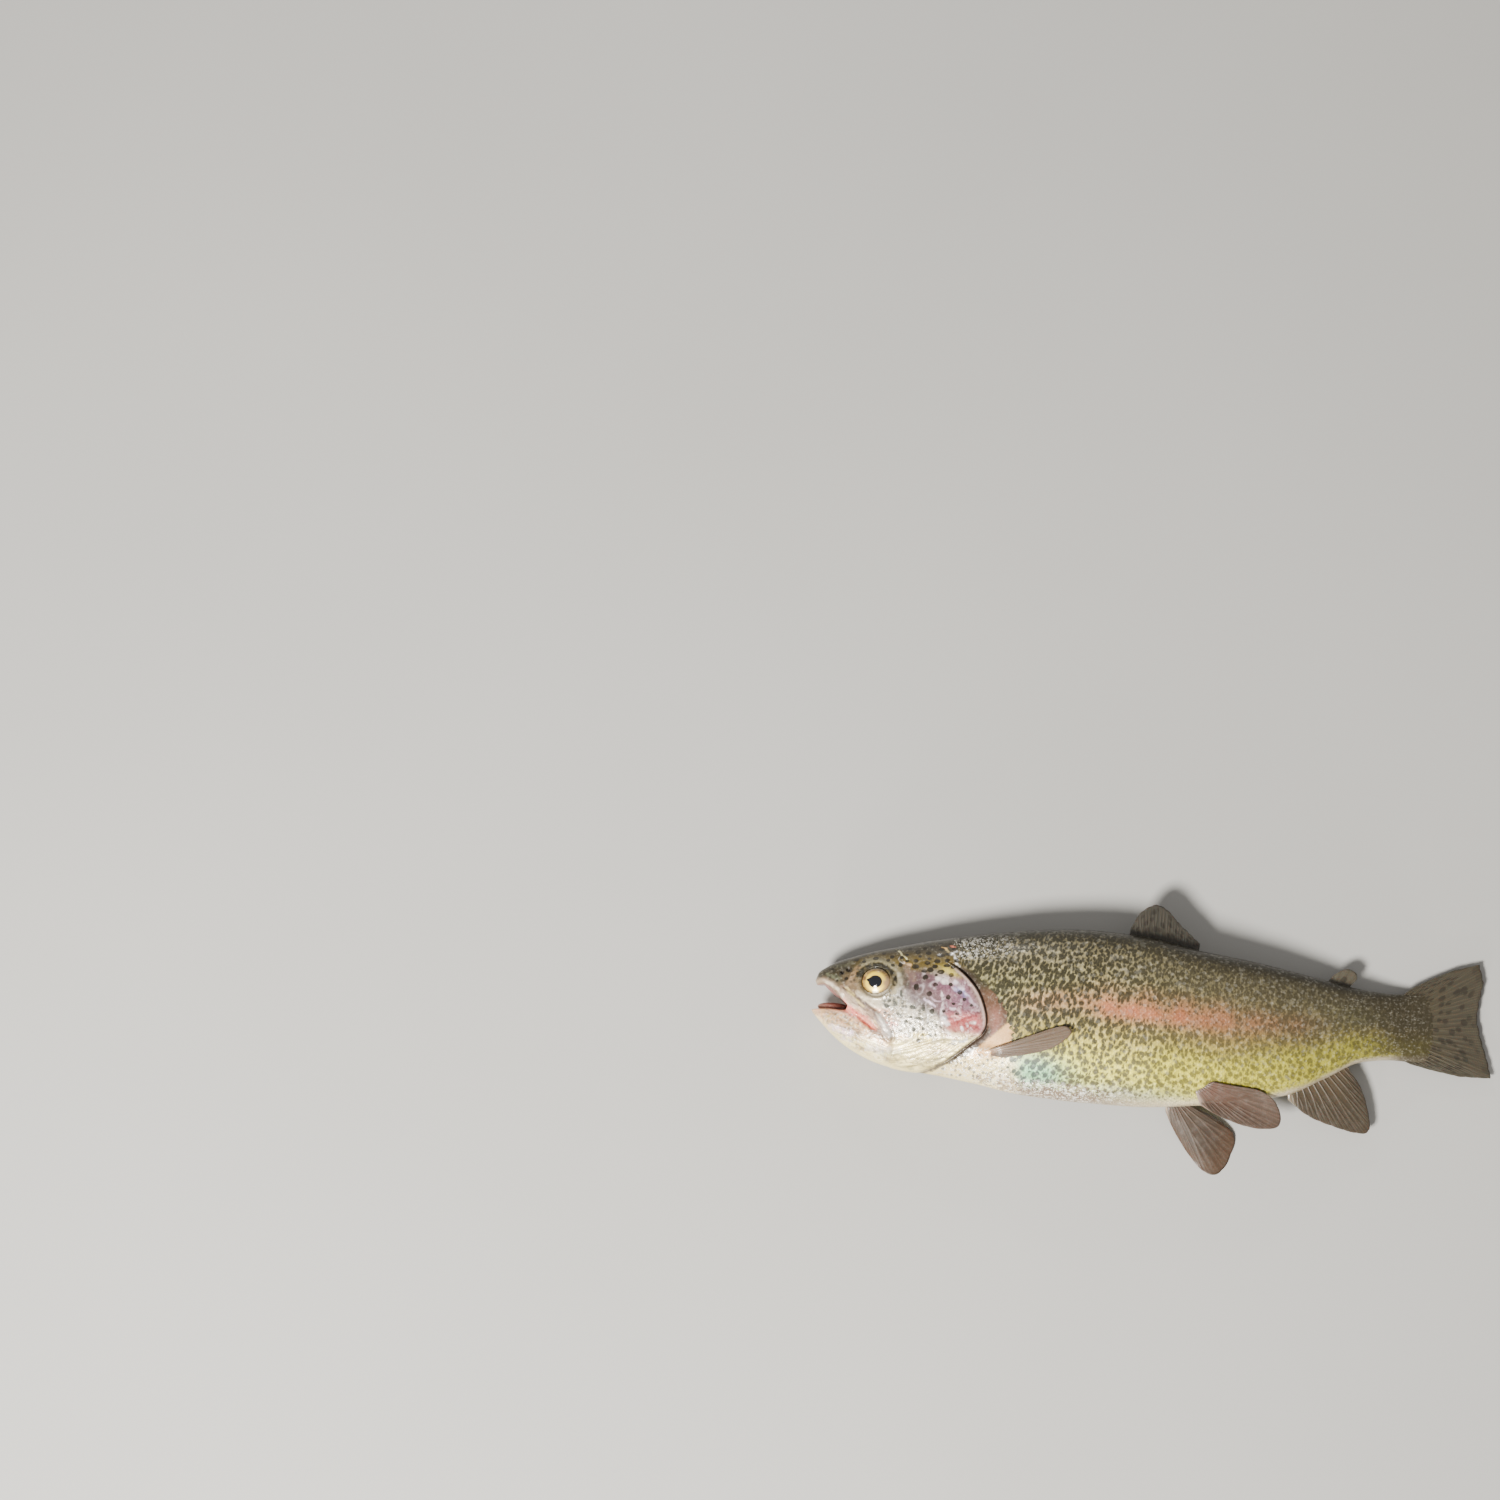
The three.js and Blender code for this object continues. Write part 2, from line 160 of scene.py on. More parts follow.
JAW = np.array([
    [-3.4, -5.6, -7.5, 1.3], [-2.6, -5.1, -8.4, 3.0], [-1.2, -4.8, -9.9, 4.4], [1.5, -4.7, -12.7, 5.7],
    [6.0, -4.6, -17.0, 7.0], [12.0, -3.0, -21.2, 8.5], [20.0, 2.0, -25.1, 10.8], [27.0, 10.0, -27.2, 12.2], [44.0, 22.0, -29.4, 14.1]])
REST = np.array([[-6, 10.6], [20, 12.0], [35, 13.0], [50, 14.2], [85, 15.9], [125, 15.9], [165, 12.8], [200, 8.6], [225, 5.2], [262, 2.4]])
INSET = 0.22          # the skin lies this far inside the CAD body, under the scales


def warped(table, x0):
    u = np.sqrt(table[:, 0] - x0)
    fs = [pchip(u, table[:, k]) for k in (1, 2, 3)]
    return [lambda x, f=f: f(np.sqrt(np.maximum(np.asarray(x, float) - x0, 0.0))) for f in fs]


BACK, BELLY, HALF = warped(BODY, -2.7)
JBACK, JBELLY, JHALF = warped(JAW, -3.7)
REST_H = pchip(REST[:, 0], REST[:, 1])


def loft_dist(X, Y, Z, back, belly, half, x0, inset, power=POWER):
    b = back(X) - inset
    l = belly(X) + inset
    mid = (b + l) / 2
    tall = np.maximum((b - l) / 2, 0.25)
    c = (Y - mid) / tall
    wide = np.maximum(half(X) - inset, 0.25) * (1 - EGG * np.clip(c, -1.2, 1.2))
    s = Z / wide
    F = (np.abs(c) ** power + np.abs(s) ** power) ** (1 / power)
    F = np.maximum(F, 0.08)
    gc = np.abs(c) ** (power - 1) * F ** (1 - power) / tall
    gs = np.abs(s) ** (power - 1) * F ** (1 - power) / wide
    d = (F - 1) / np.maximum(np.sqrt(gc * gc + gs * gs), 0.5 / tall)
    return smax(d, x0 - X, 0.8)


def squash(z):
    """Presses what would pass through the floor flat, in order."""
    return np.where(z > 0.6, z, 0.6 * np.exp(np.minimum((z - 0.6) / 0.6, 0)))


def to_world(P):
    P = np.asarray(P, float)
    return np.stack([(P[:, 0] - MX) / 1000, (P[:, 1] - MY) / 1000, squash(P[:, 2] + REST_H(P[:, 0])) / 1000], 1)


# --------------------------------------------------------- curves of the head
EYE = dict(x=21.1, y=4.7, r=5.9, ry=5.6, depth=3.4, z=8.2, tilt=0.17)
JAW_ZONE = [(-9, -5.4), (-3, -5.5), (3, -5.3), (9.6, -5.0), (12.5, -7.6), (19, -12.3), (27.3, -15.6), (28.2, -20), (26.6, -36), (-9, -36)]
GAPE = [(-12, -6.4), (-12, 2.6), (-1.9, 3.2), (1.2, 3.5), (4.6, 1.0), (7.6, -1.7), (10.3, -4.4), (10.0, -5.4), (6.0, -5.7), (0.5, -5.7), (-4.0, -6.2)]
LIP = spline([(-2.6, 4.2), (0.4, 5.0), (3.4, 3.6), (6.9, 0.9), (10.0, -2.0), (12.0, -4.0)])
MAXILLA = spline([(7.6, 2.4), (10.8, 0.8), (14.0, -1.7), (17.4, -3.9), (20.0, -5.6), (22.6, -7.7), (25.4, -10.9), (27.5, -14.4), (27.9, -16.6), (26.7, -17.3),
                  (24.6, -14.8), (22.4, -12.0), (20.0, -9.6), (17.2, -7.5), (13.8, -5.2), (11.4, -3.2), (9.3, -0.9), (7.5, 1.2)], 4)
SUPRA = spline([(15.6, -2.2), (19.2, -4.2), (22.6, -6.6), (25.6, -9.8), (26.6, -12.2), (25.2, -11.0), (22.0, -8.0), (18.4, -5.6)], 4)
MEMBRANE = spline([(9.4, -3.2), (12.0, -5.4), (15.6, -7.6), (18.6, -9.8), (21.2, -12.2), (22.0, -14.0), (19.4, -13.2), (16.0, -10.8), (12.4, -7.6), (9.8, -5.2)], 4)
JAW_RIM = spline([(-3.2, -6.6), (1.0, -6.3), (6.2, -6.8), (10.0, -8.0), (13.6, -10.2), (17.6, -13.0), (21.6, -15.2)])
PREOP = spline([(30.6, 14.0), (35.4, 9.4), (38.8, 3.6), (40.8, -3.2), (40.9, -10.2), (37.8, -15.8), (31.8, -19.2), (27.6, -20.6)])
OP_FRONT = spline([(43.2, 12.2), (45.2, 5.2), (45.9, -4.4), (46.6, -11.0), (47.8, -16.0)])
SUBOP = spline([(46.5, -10.6), (52.0, -9.2), (57.4, -6.6), (61.8, -4.2)])
INTEROP = spline([(28.5, -21.6), (35.0, -19.6), (42.0, -17.4), (48.0, -15.8), (54.0, -15.9), (60.2, -14.6)])
GILL = spline([(45.0, 15.4), (49.2, 12.9), (52.8, 10.3), (56.7, 6.6), (60.0, 2.1), (62.3, -3.5), (63.3, -9.0), (62.2, -13.2), (58.6, -16.2), (53.8, -20.2), (49.2, -23.6), (44.2, -26.6), (38.0, -29.1), (33.0, -30.4)], 5)
SCALES_FROM = spline([(47.5, 26.0), (49.5, 19.0), (54.0, 12.6), (61.5, 6.4), (66.6, 0.6), (70.0, -5.0), (71.2, -11.0), (72.0, -18.0), (69.0, -24.0), (63.5, -27.6), (59.0, -30.0), (57.0, -34.0)], 5)
NOSTRILS = [(7.7, 8.2, 0.62), (10.1, 9.3, 0.78)]
PORES = [(5.8, -8.4, 0.34), (10.5, -10.4, 0.34), (14.8, -13.4, 0.32), (19.2, -16.4, 0.32), (24.0, -18.6, 0.3), (29.6, -18.0, 0.3), (34.6, -15.4, 0.3), (38.6, -10.6, 0.3),
         (12.6, 1.2, 0.28), (16.0, -1.6, 0.28), (20.4, -3.6, 0.28), (25.2, -3.4, 0.28), (28.8, -0.2, 0.28), (30.2, 4.2, 0.28)]


# round dark spots of the head: x, y, half length, half height
SPOTS = [
    (41.9, 19.8, 1.16, 0.75), (45.1, 21.2, 0.86, 0.65), (45.4, 18.7, 1.16, 0.91), (36.5, 17.3, 0.99, 0.91), (40.6, 17.0, 1.16, 0.91),
    (32.2, 16.0, 0.86, 0.65), (30.3, 14.9, 0.99, 0.82), (48.1, 16.8, 1.16, 0.75), (45.1, 16.2, 1.81, 0.82), (41.0, 14.7, 0.82, 0.65),
    (35.8, 13.7, 0.99, 0.91), (32.2, 13.4, 0.99, 0.65), (44.0, 13.7, 1.34, 0.91), (47.8, 14.2, 1.08, 0.91), (40.2, 12.9, 1.25, 0.91),
    (30.1, 12.0, 0.99, 0.99), (35.5, 11.4, 1.66, 0.99), (43.1, 11.7, 1.16, 0.82), (47.6, 12.1, 1.51, 0.75), (41.5, 10.3, 1.16, 0.99),
    (39.0, 9.7, 1.08, 0.75), (45.4, 9.6, 1.40, 0.99), (39.6, 7.3, 1.25, 0.99), (49.5, 8.4, 0.99, 0.91), (51.3, 14.2, 1.08, 0.86),
    (33.3, 18.5, 0.86, 0.65), (39.0, 18.9, 0.86, 0.65), (26.6, 15.0, 0.97, 0.75), (23.4, 16.3, 0.86, 0.65), (27.1, 11.5, 0.75, 0.65),
    (28.3, 17.8, 0.86, 0.65), (25.1, 13.5, 0.75, 0.65), (43.8, 8.3, 0.65, 0.54), (37.3, 15.5, 0.65, 0.56), (50.2, 19.0, 0.86, 0.73),
    (48.6, 21.0, 0.86, 0.65), (50.1, 11.4, 0.97, 0.69), (49.4, 4.7, 0.78, 0.65), (36.3, 3.3, 0.99, 1.21), (41.4, 1.0, 0.99, 1.03),
    (48.6, -0.1, 1.03, 1.08), (43.6, 4.5, 0.95, 0.78), (53.0, 1.9, 0.91, 0.91), (30.7, 0.7, 0.56, 1.34), (35.2, -4.5, 1.03, 0.86),
    (39.4, -4.5, 0.69, 1.29), (28.5, -3.3, 0.95, 0.95), (25.3, -4.3, 0.86, 0.82), (26.3, -2.3, 0.78, 0.65), (30.3, -7.6, 0.82, 0.65),
    (34.8, -8.3, 0.82, 0.65), (38.0, -8.7, 1.40, 0.65), (33.0, -10.4, 0.65, 0.95), (36.0, -12.9, 0.73, 0.91), (39.7, -12.5, 0.73, 0.73),
    (44.7, -11.2, 0.65, 0.91), (42.5, -14.8, 0.95, 0.69), (38.0, -17.0, 0.95, 0.91), (42.7, -5.8, 0.95, 0.95), (47.2, -5.5, 0.73, 0.73),
    (52.2, -6.4, 0.95, 0.52), (54.8, -0.8, 0.86, 0.73), (57.6, -2.8, 0.73, 0.65), (50.7, -2.6, 0.65, 0.52), (7.5, 7.9, 0.86, 0.65),
    (9.3, 5.7, 0.78, 0.65), (5.9, 5.0, 0.52, 0.43), (3.7, 9.5, 0.73, 0.52), (10.7, 9.6, 0.73, 0.52), (13.4, 8.1, 0.56, 0.65),]
# folds, pale ridges, tinted patches, painted highlights and glints, and painted shadow of the head: half width, colour,
# strength, line
STROKES = [
    (0.45, (0.107, 0.066, 0.043), 0.70, [(8.7, 3.9), (11.9, 0.7), (15.5, -2.2), (18.8, -5.1), (21.2, -7.7)]),
    (0.55, (0.970, 0.752, 0.288), 0.75, [(9.5, 2.1), (12.0, -0.5), (14.8, -3.4), (16.5, -4.9)]),
    (0.38, (0.099, 0.059, 0.049), 0.65, [(11.0, -3.6), (13.7, -3.9), (16.1, -5.3), (18.1, -7.5), (20.2, -9.3)]),
    (0.75, (0.168, 0.113, 0.107), 0.70, [(13.6, -1.2), (16.8, -3.7), (20.0, -6.6), (21.7, -9.6)]),
    (0.85, (0.900, 0.860, 0.800), 0.80, [(22.4, -7.3), (24.1, -10.2), (26.2, -13.6), (27.4, -15.1)]),
    (0.36, (0.182, 0.146, 0.146), 0.70, [(21.3, -8.5), (23.0, -11.5), (24.7, -14.1)]),
    (0.50, (0.107, 0.113, 0.146), 0.80, [(24.6, -6.4), (26.3, -8.8)]),
    (0.70, (0.640, 0.520, 0.350), 0.75, [(13.4, 0.8), (16.3, -1.5), (19.8, -3.4), (23.8, -5.0)]),
    (0.45, (0.168, 0.139, 0.092), 0.60, [(16.6, 0.1), (19.8, -2.0), (24.0, -2.3), (27.0, -0.4)]),
    (0.95, (0.422, 0.259, 0.139), 0.55, [(13.7, 10.4), (11.6, 6.8), (10.6, 4.1)]),
    (0.50, (0.052, 0.037, 0.024), 0.60, [(11.4, 9.5), (9.0, 4.7)]),
    (0.40, (0.069, 0.049, 0.033), 0.50, [(15.0, 7.4), (14.1, 3.9), (15.3, 1.6)]),
    (0.60, (0.800, 0.700, 0.560), 0.80, [(0.9, 4.7), (3.7, 3.3), (6.1, 1.5), (8.5, -1.1)]),
    (0.40, (0.182, 0.088, 0.066), 0.60, [(2.2, 2.8), (5.0, 1.0), (7.4, -1.1), (9.5, -3.7)]),
    (0.80, (0.182, 0.199, 0.123), 0.45, [(1.9, 7.0), (4.7, 6.4), (7.4, 5.4)]),
    (0.60, (0.168, 0.168, 0.107), 0.40, [(5.6, 10.3), (8.7, 10.9), (11.3, 12.2)]),
    (1.00, (0.020, 0.017, 0.008), 1.60, [(14.2, 7.2), (15.8, 9.6), (18.9, 11.4), (22.8, 11.4), (25.9, 9.8), (28.0, 7.2), (28.3, 4.4)]),
    (0.70, (0.150, 0.135, 0.065), 0.60, [(15.8, 12.4), (20.1, 13.8), (24.4, 12.9), (27.4, 11.0)]),
    (0.95, (0.420, 0.390, 0.300), 0.70, [(29.8, 7.9), (30.3, 5.4), (29.8, 2.2)]),
    (1.15, (0.069, 0.059, 0.043), 0.80, [(31.2, 10.2), (31.8, 6.8), (33.0, 3.4)]),
    (0.40, (0.780, 0.740, 0.660), 0.65, [(29.7, -0.3), (30.0, 2.0), (31.4, 3.3), (32.1, 2.2), (31.3, -0.6)]),
    (1.50, (0.219, 0.134, 0.092), 0.70, [(32.1, 11.8), (33.4, 9.2), (35.1, 6.6)]),
    (0.24, (0.970, 0.900, 0.480), 0.85, [(28.3, 18.3), (30.4, 15.9), (32.4, 13.7)]),
    (0.60, (0.668, 0.422, 0.219), 0.70, [(31.7, 12.9), (33.7, 11.9)]),
    (1.90, (0.199, 0.219, 0.154), 0.60, [(25.6, -2.8), (28.3, -3.5)]),
    (2.20, (0.288, 0.239, 0.259), 0.55, [(31.6, 1.0), (34.8, -1.2), (38.0, -3.3)]),
    (0.55, (0.560, 0.128, 0.099), 0.75, [(25.6, -10.5), (27.6, -11.0), (29.6, -11.5)]),
    (1.00, (0.970, 0.614, 0.422), 0.60, [(26.3, -9.3), (29.4, -9.6)]),
    (0.42, (0.128, 0.092, 0.062), 0.75, [(29.0, -15.9), (31.2, -13.7), (32.8, -14.2), (34.4, -15.8)]),
    (1.20, (0.668, 0.383, 0.199), 0.60, [(31.0, -16.0), (32.9, -15.9)]),
    (1.30, (0.970, 0.752, 0.168), 0.65, [(37.1, -15.3), (40.1, -14.4), (41.8, -16.2)]),
    (0.30, (0.900, 0.800, 0.820), 0.75, [(45.8, 2.1), (46.5, -0.5), (46.6, -3.6), (45.8, -6.3)]),
    (0.32, (0.970, 0.752, 0.970), 0.75, [(39.4, -1.3), (41.4, -2.0), (43.8, -3.8)]),
    (0.30, (0.970, 0.668, 0.858), 0.60, [(42.0, -0.4), (43.7, -1.8), (45.6, -2.1)]),
    (0.95, (0.970, 0.970, 0.970), 0.85, [(46.7, -7.1), (47.5, -8.6), (48.8, -10.4)]),
    (0.55, (0.107, 0.069, 0.077), 0.65, [(42.6, -4.2), (44.3, -6.0), (45.9, -7.5)]),
    (0.60, (0.128, 0.102, 0.139), 0.65, [(47.0, -7.1), (48.7, -8.5), (49.8, -8.1)]),
    (1.15, (0.219, 0.249, 0.505), 0.65, [(51.5, 3.2), (53.9, 1.8), (55.5, 0.4)]),
    # painted highlight along the upper rear edge of the gill cover (three strokes)
    (0.80, (0.900, 0.830, 0.780), 0.80, [(44.3, 7.1), (46.3, 6.0), (48.3, 5.4)]),
    (0.75, (0.780, 0.680, 0.760), 0.70, [(50.6, 5.9), (52.2, 4.4), (54.2, 3.0)]),
    (0.45, (0.700, 0.580, 0.700), 0.60, [(55.4, 1.5), (57.1, -1.1), (58.8, -2.9)]),
    (1.60, (0.107, 0.037, 0.077), 0.55, [(51.7, -1.0), (54.0, -0.5), (55.6, -1.6)]),
    (0.50, (0.970, 0.858, 0.970), 0.60, [(49.6, -4.2), (51.1, -4.5)]),
    (0.45, (0.099, 0.049, 0.059), 0.70, [(51.6, -5.6), (52.8, -6.5)]),
    (0.50, (0.970, 0.560, 0.505), 0.75, [(50.2, -7.5), (51.7, -7.0), (53.3, -7.9)]),
    (1.20, (0.182, 0.123, 0.154), 0.55, [(55.8, -4.6), (58.0, -3.4), (60.0, -4.4)]),
    # painted glints: white points on the pink lower gill cover (four strokes)
    (0.55, (0.970, 0.970, 0.970), 0.95, [(54.2, -11.3), (54.5, -12.2)]),
    (0.45, (0.970, 0.970, 0.970), 0.85, [(55.7, -10.0), (56.3, -10.8)]),
    (0.45, (0.970, 0.970, 0.970), 0.85, [(57.2, -9.6), (59.1, -9.5)]),
    (0.50, (0.970, 0.970, 0.858), 0.85, [(48.9, -13.1), (49.7, -13.8)]),
    (0.50, (0.182, 0.037, 0.031), 0.60, [(56.2, -11.6), (57.7, -12.2), (60.0, -10.6)]),
    (0.45, (0.259, 0.049, 0.043), 0.55, [(50.3, -9.6), (50.8, -11.9), (52.4, -13.3)]),
    (0.40, (0.259, 0.052, 0.046), 0.55, [(52.9, -8.7), (53.0, -10.6)]),
    (0.55, (0.182, 0.084, 0.062), 0.75, [(47.8, -13.9), (49.8, -15.0), (52.9, -15.4), (57.1, -15.1), (59.4, -13.7)]),
    (0.50, (0.128, 0.092, 0.084), 0.60, [(47.3, -11.3), (47.4, -13.6)]),
    (0.60, (0.970, 0.970, 0.970), 0.75, [(51.0, -16.5), (54.1, -16.7), (56.4, -15.8)]),
    (0.38, (0.259, 0.182, 0.084), 0.80, [(40.4, -18.6), (42.7, -19.2), (45.4, -19.3)]),
    (0.34, (0.344, 0.229, 0.099), 0.70, [(41.1, -18.0), (44.2, -17.8), (46.5, -18.3)]),
    (0.40, (0.182, 0.189, 0.239), 0.80, [(49.6, -18.1), (52.3, -17.9), (54.9, -16.8)]),
    (0.36, (0.330, 0.259, 0.182), 0.70, [(40.9, -21.7), (44.0, -22.3), (48.2, -21.4)]),
    (0.36, (0.288, 0.249, 0.154), 0.70, [(39.5, -24.4), (43.4, -24.6), (47.9, -23.0)]),
    (0.34, (0.383, 0.219, 0.182), 0.60, [(41.2, -20.7), (45.1, -20.8), (49.7, -20.0)]),
    (0.36, (0.259, 0.229, 0.139), 0.65, [(34.4, -23.4), (37.6, -24.9), (40.8, -26.3)]),
    (0.34, (0.259, 0.229, 0.128), 0.65, [(25.2, -23.3), (27.6, -25.1)]),
    (0.34, (0.259, 0.229, 0.128), 0.65, [(28.6, -22.7), (30.7, -25.3)]),
    (0.34, (0.288, 0.249, 0.139), 0.65, [(31.7, -22.9), (33.8, -25.1)]),
    (0.36, (0.316, 0.288, 0.168), 0.60, [(29.6, -26.5), (33.5, -27.5), (36.6, -27.7)]),
    (0.34, (0.422, 0.344, 0.239), 0.55, [(33.1, -20.5), (37.0, -21.5), (39.7, -21.3)]),
    (0.80, (0.219, 0.182, 0.113), 0.70, [(1.7, -10.5), (6.9, -12.7), (11.6, -14.4), (17.0, -15.4), (23.3, -16.5), (30.2, -17.0), (35.7, -17.7)]),
    (1.20, (0.752, 0.505, 0.699), 0.60, [(4.2, -12.9), (8.9, -14.5), (12.4, -15.5)]),
    (0.80, (0.560, 0.422, 0.614), 0.50, [(8.6, -16.9), (11.8, -17.9)]),
    (1.50, (0.970, 0.614, 0.288), 0.60, [(1.2, -7.6), (6.7, -8.9), (12.2, -10.9), (17.7, -13.7)]),
    (0.70, (0.560, 0.505, 0.154), 0.45, [(2.0, -9.1), (5.2, -9.5)]),
    (0.80, (0.560, 0.422, 0.154), 0.50, [(10.7, -11.8), (14.2, -12.7)]),
    (0.45, (0.046, 0.033, 0.031), 0.85, [(5.0, -7.6), (6.2, -8.3)]),
    (0.50, (0.077, 0.046, 0.037), 0.85, [(9.2, -8.9), (11.3, -10.0)]),
    (0.34, (0.259, 0.118, 0.084), 0.60, [(14.1, -11.0), (15.7, -12.2)]),
    (0.30, (0.219, 0.128, 0.154), 0.60, [(2.3, -6.4), (4.3, -7.3)]),
    (0.30, (0.460, 0.239, 0.239), 0.50, [(6.5, -6.2), (9.3, -7.2)]),
    (1.50, (0.970, 0.219, 0.219), 0.65, [(8.3, -3.4), (10.3, -5.6), (12.0, -7.4)]),
    (0.50, (0.970, 0.668, 0.460), 0.85, [(15.0, -5.7), (17.0, -7.2)]),
    (0.55, (0.970, 0.422, 0.330), 0.85, [(16.7, -9.1), (18.7, -10.5), (20.3, -11.6)]),
    (0.40, (0.330, 0.046, 0.043), 0.75, [(12.3, -5.9), (15.2, -9.2), (18.0, -11.7), (19.6, -13.0)]),
    (0.35, (0.460, 0.084, 0.077), 0.65, [(14.3, -7.3), (16.3, -8.4), (18.2, -9.0)]),
    (0.45, (0.970, 0.752, 0.383), 0.60, [(21.0, -10.4), (22.3, -12.3)]),
    (1.30, (0.858, 0.752, 0.752), 0.50, [(19.6, -20.5), (25.4, -21.0), (31.2, -21.0)]),
    (0.80, (0.560, 0.560, 0.288), 0.50, [(23.6, -22.6), (28.2, -22.0), (33.2, -21.7)]),
    (0.40, (0.128, 0.113, 0.084), 0.65, [(59.9, -23.9), (60.7, -24.4)]),
    (0.50, (0.239, 0.229, 0.154), 0.50, [(56.6, -26.2), (59.3, -27.2)]),
    (0.50, (0.239, 0.229, 0.154), 0.50, [(61.9, -25.1), (64.7, -26.1)]),
    # painted shadow: the dark wedge in the gap under the gill cover's lower edge, narrowing forward (three strokes)
    (1.60, (0.050, 0.032, 0.023), 3.00, [(63.9, -12.0), (62.3, -15.0), (58.9, -18.0), (55.4, -20.6)]),
    (1.10, (0.070, 0.052, 0.037), 3.00, [(56.6, -19.8), (53.4, -22.1), (50.4, -24.2)]),
    (0.50, (0.115, 0.094, 0.062), 2.00, [(51.6, -22.9), (47.8, -25.4), (43.6, -27.6)]),
    # painted glints of the wet nape where the scales begin, the orange and red ones partly blood (six strokes)
    (0.35, (0.950, 0.560, 0.180), 0.90, [(45.6, 19.6), (47.2, 19.0)]),
    (0.35, (0.970, 0.750, 0.330), 0.90, [(47.4, 18.3), (48.5, 17.2)]),
    (0.45, (0.970, 0.950, 0.880), 1.00, [(48.9, 17.1), (50.4, 16.0)]),
    (0.40, (0.880, 0.900, 0.950), 1.00, [(50.6, 15.3), (51.9, 14.4)]),
    (0.40, (0.970, 0.950, 0.880), 1.00, [(50.9, 13.4), (52.4, 12.3)]),
    (0.35, (0.900, 0.240, 0.140), 0.80, [(49.0, 20.2), (50.4, 19.6)]),
]


def line_dist(x, y, pts):
    """Distance to an open line."""
    d = np.full(x.shape, 1e9)
    for (x0, y0), (x1, y1) in zip(pts[:-1], pts[1:]):
        vx, vy = x1 - x0, y1 - y0
        t = np.clip(((x - x0) * vx + (y - y0) * vy) / (vx * vx + vy * vy), 0, 1)
        d = np.minimum(d, (x - x0 - vx * t) ** 2 + (y - y0 - vy * t) ** 2)
    return np.sqrt(d)


def creases(x, y, k, seed, wide=0.28):
    """A net of fine valleys: 1 along their bottoms."""
    xw = x + 0.55 * plane_noise(x, y, 0.9, seed + 50)
    yw = y + 0.55 * plane_noise(x, y, 0.9, seed + 51)
    a = plane_noise(xw, yw, k, seed) / wide
    b = plane_noise(xw, yw, 1.8 * k, seed + 1) / wide
    return np.clip(0.8 * np.exp(-a * a) + 0.4 * np.exp(-b * b), 0, 1)


def streaks(x, y, turn, along, across, seed, wide=0.30):
    """Valleys drawn out along one direction."""
    c, s = math.cos(math.radians(turn)), math.sin(math.radians(turn))
    a = (x * c + y * s) * along
    b = (-x * s + y * c) * across
    v = plane_noise(a, b, 1.0, seed) / wide
    return np.exp(-v * v)


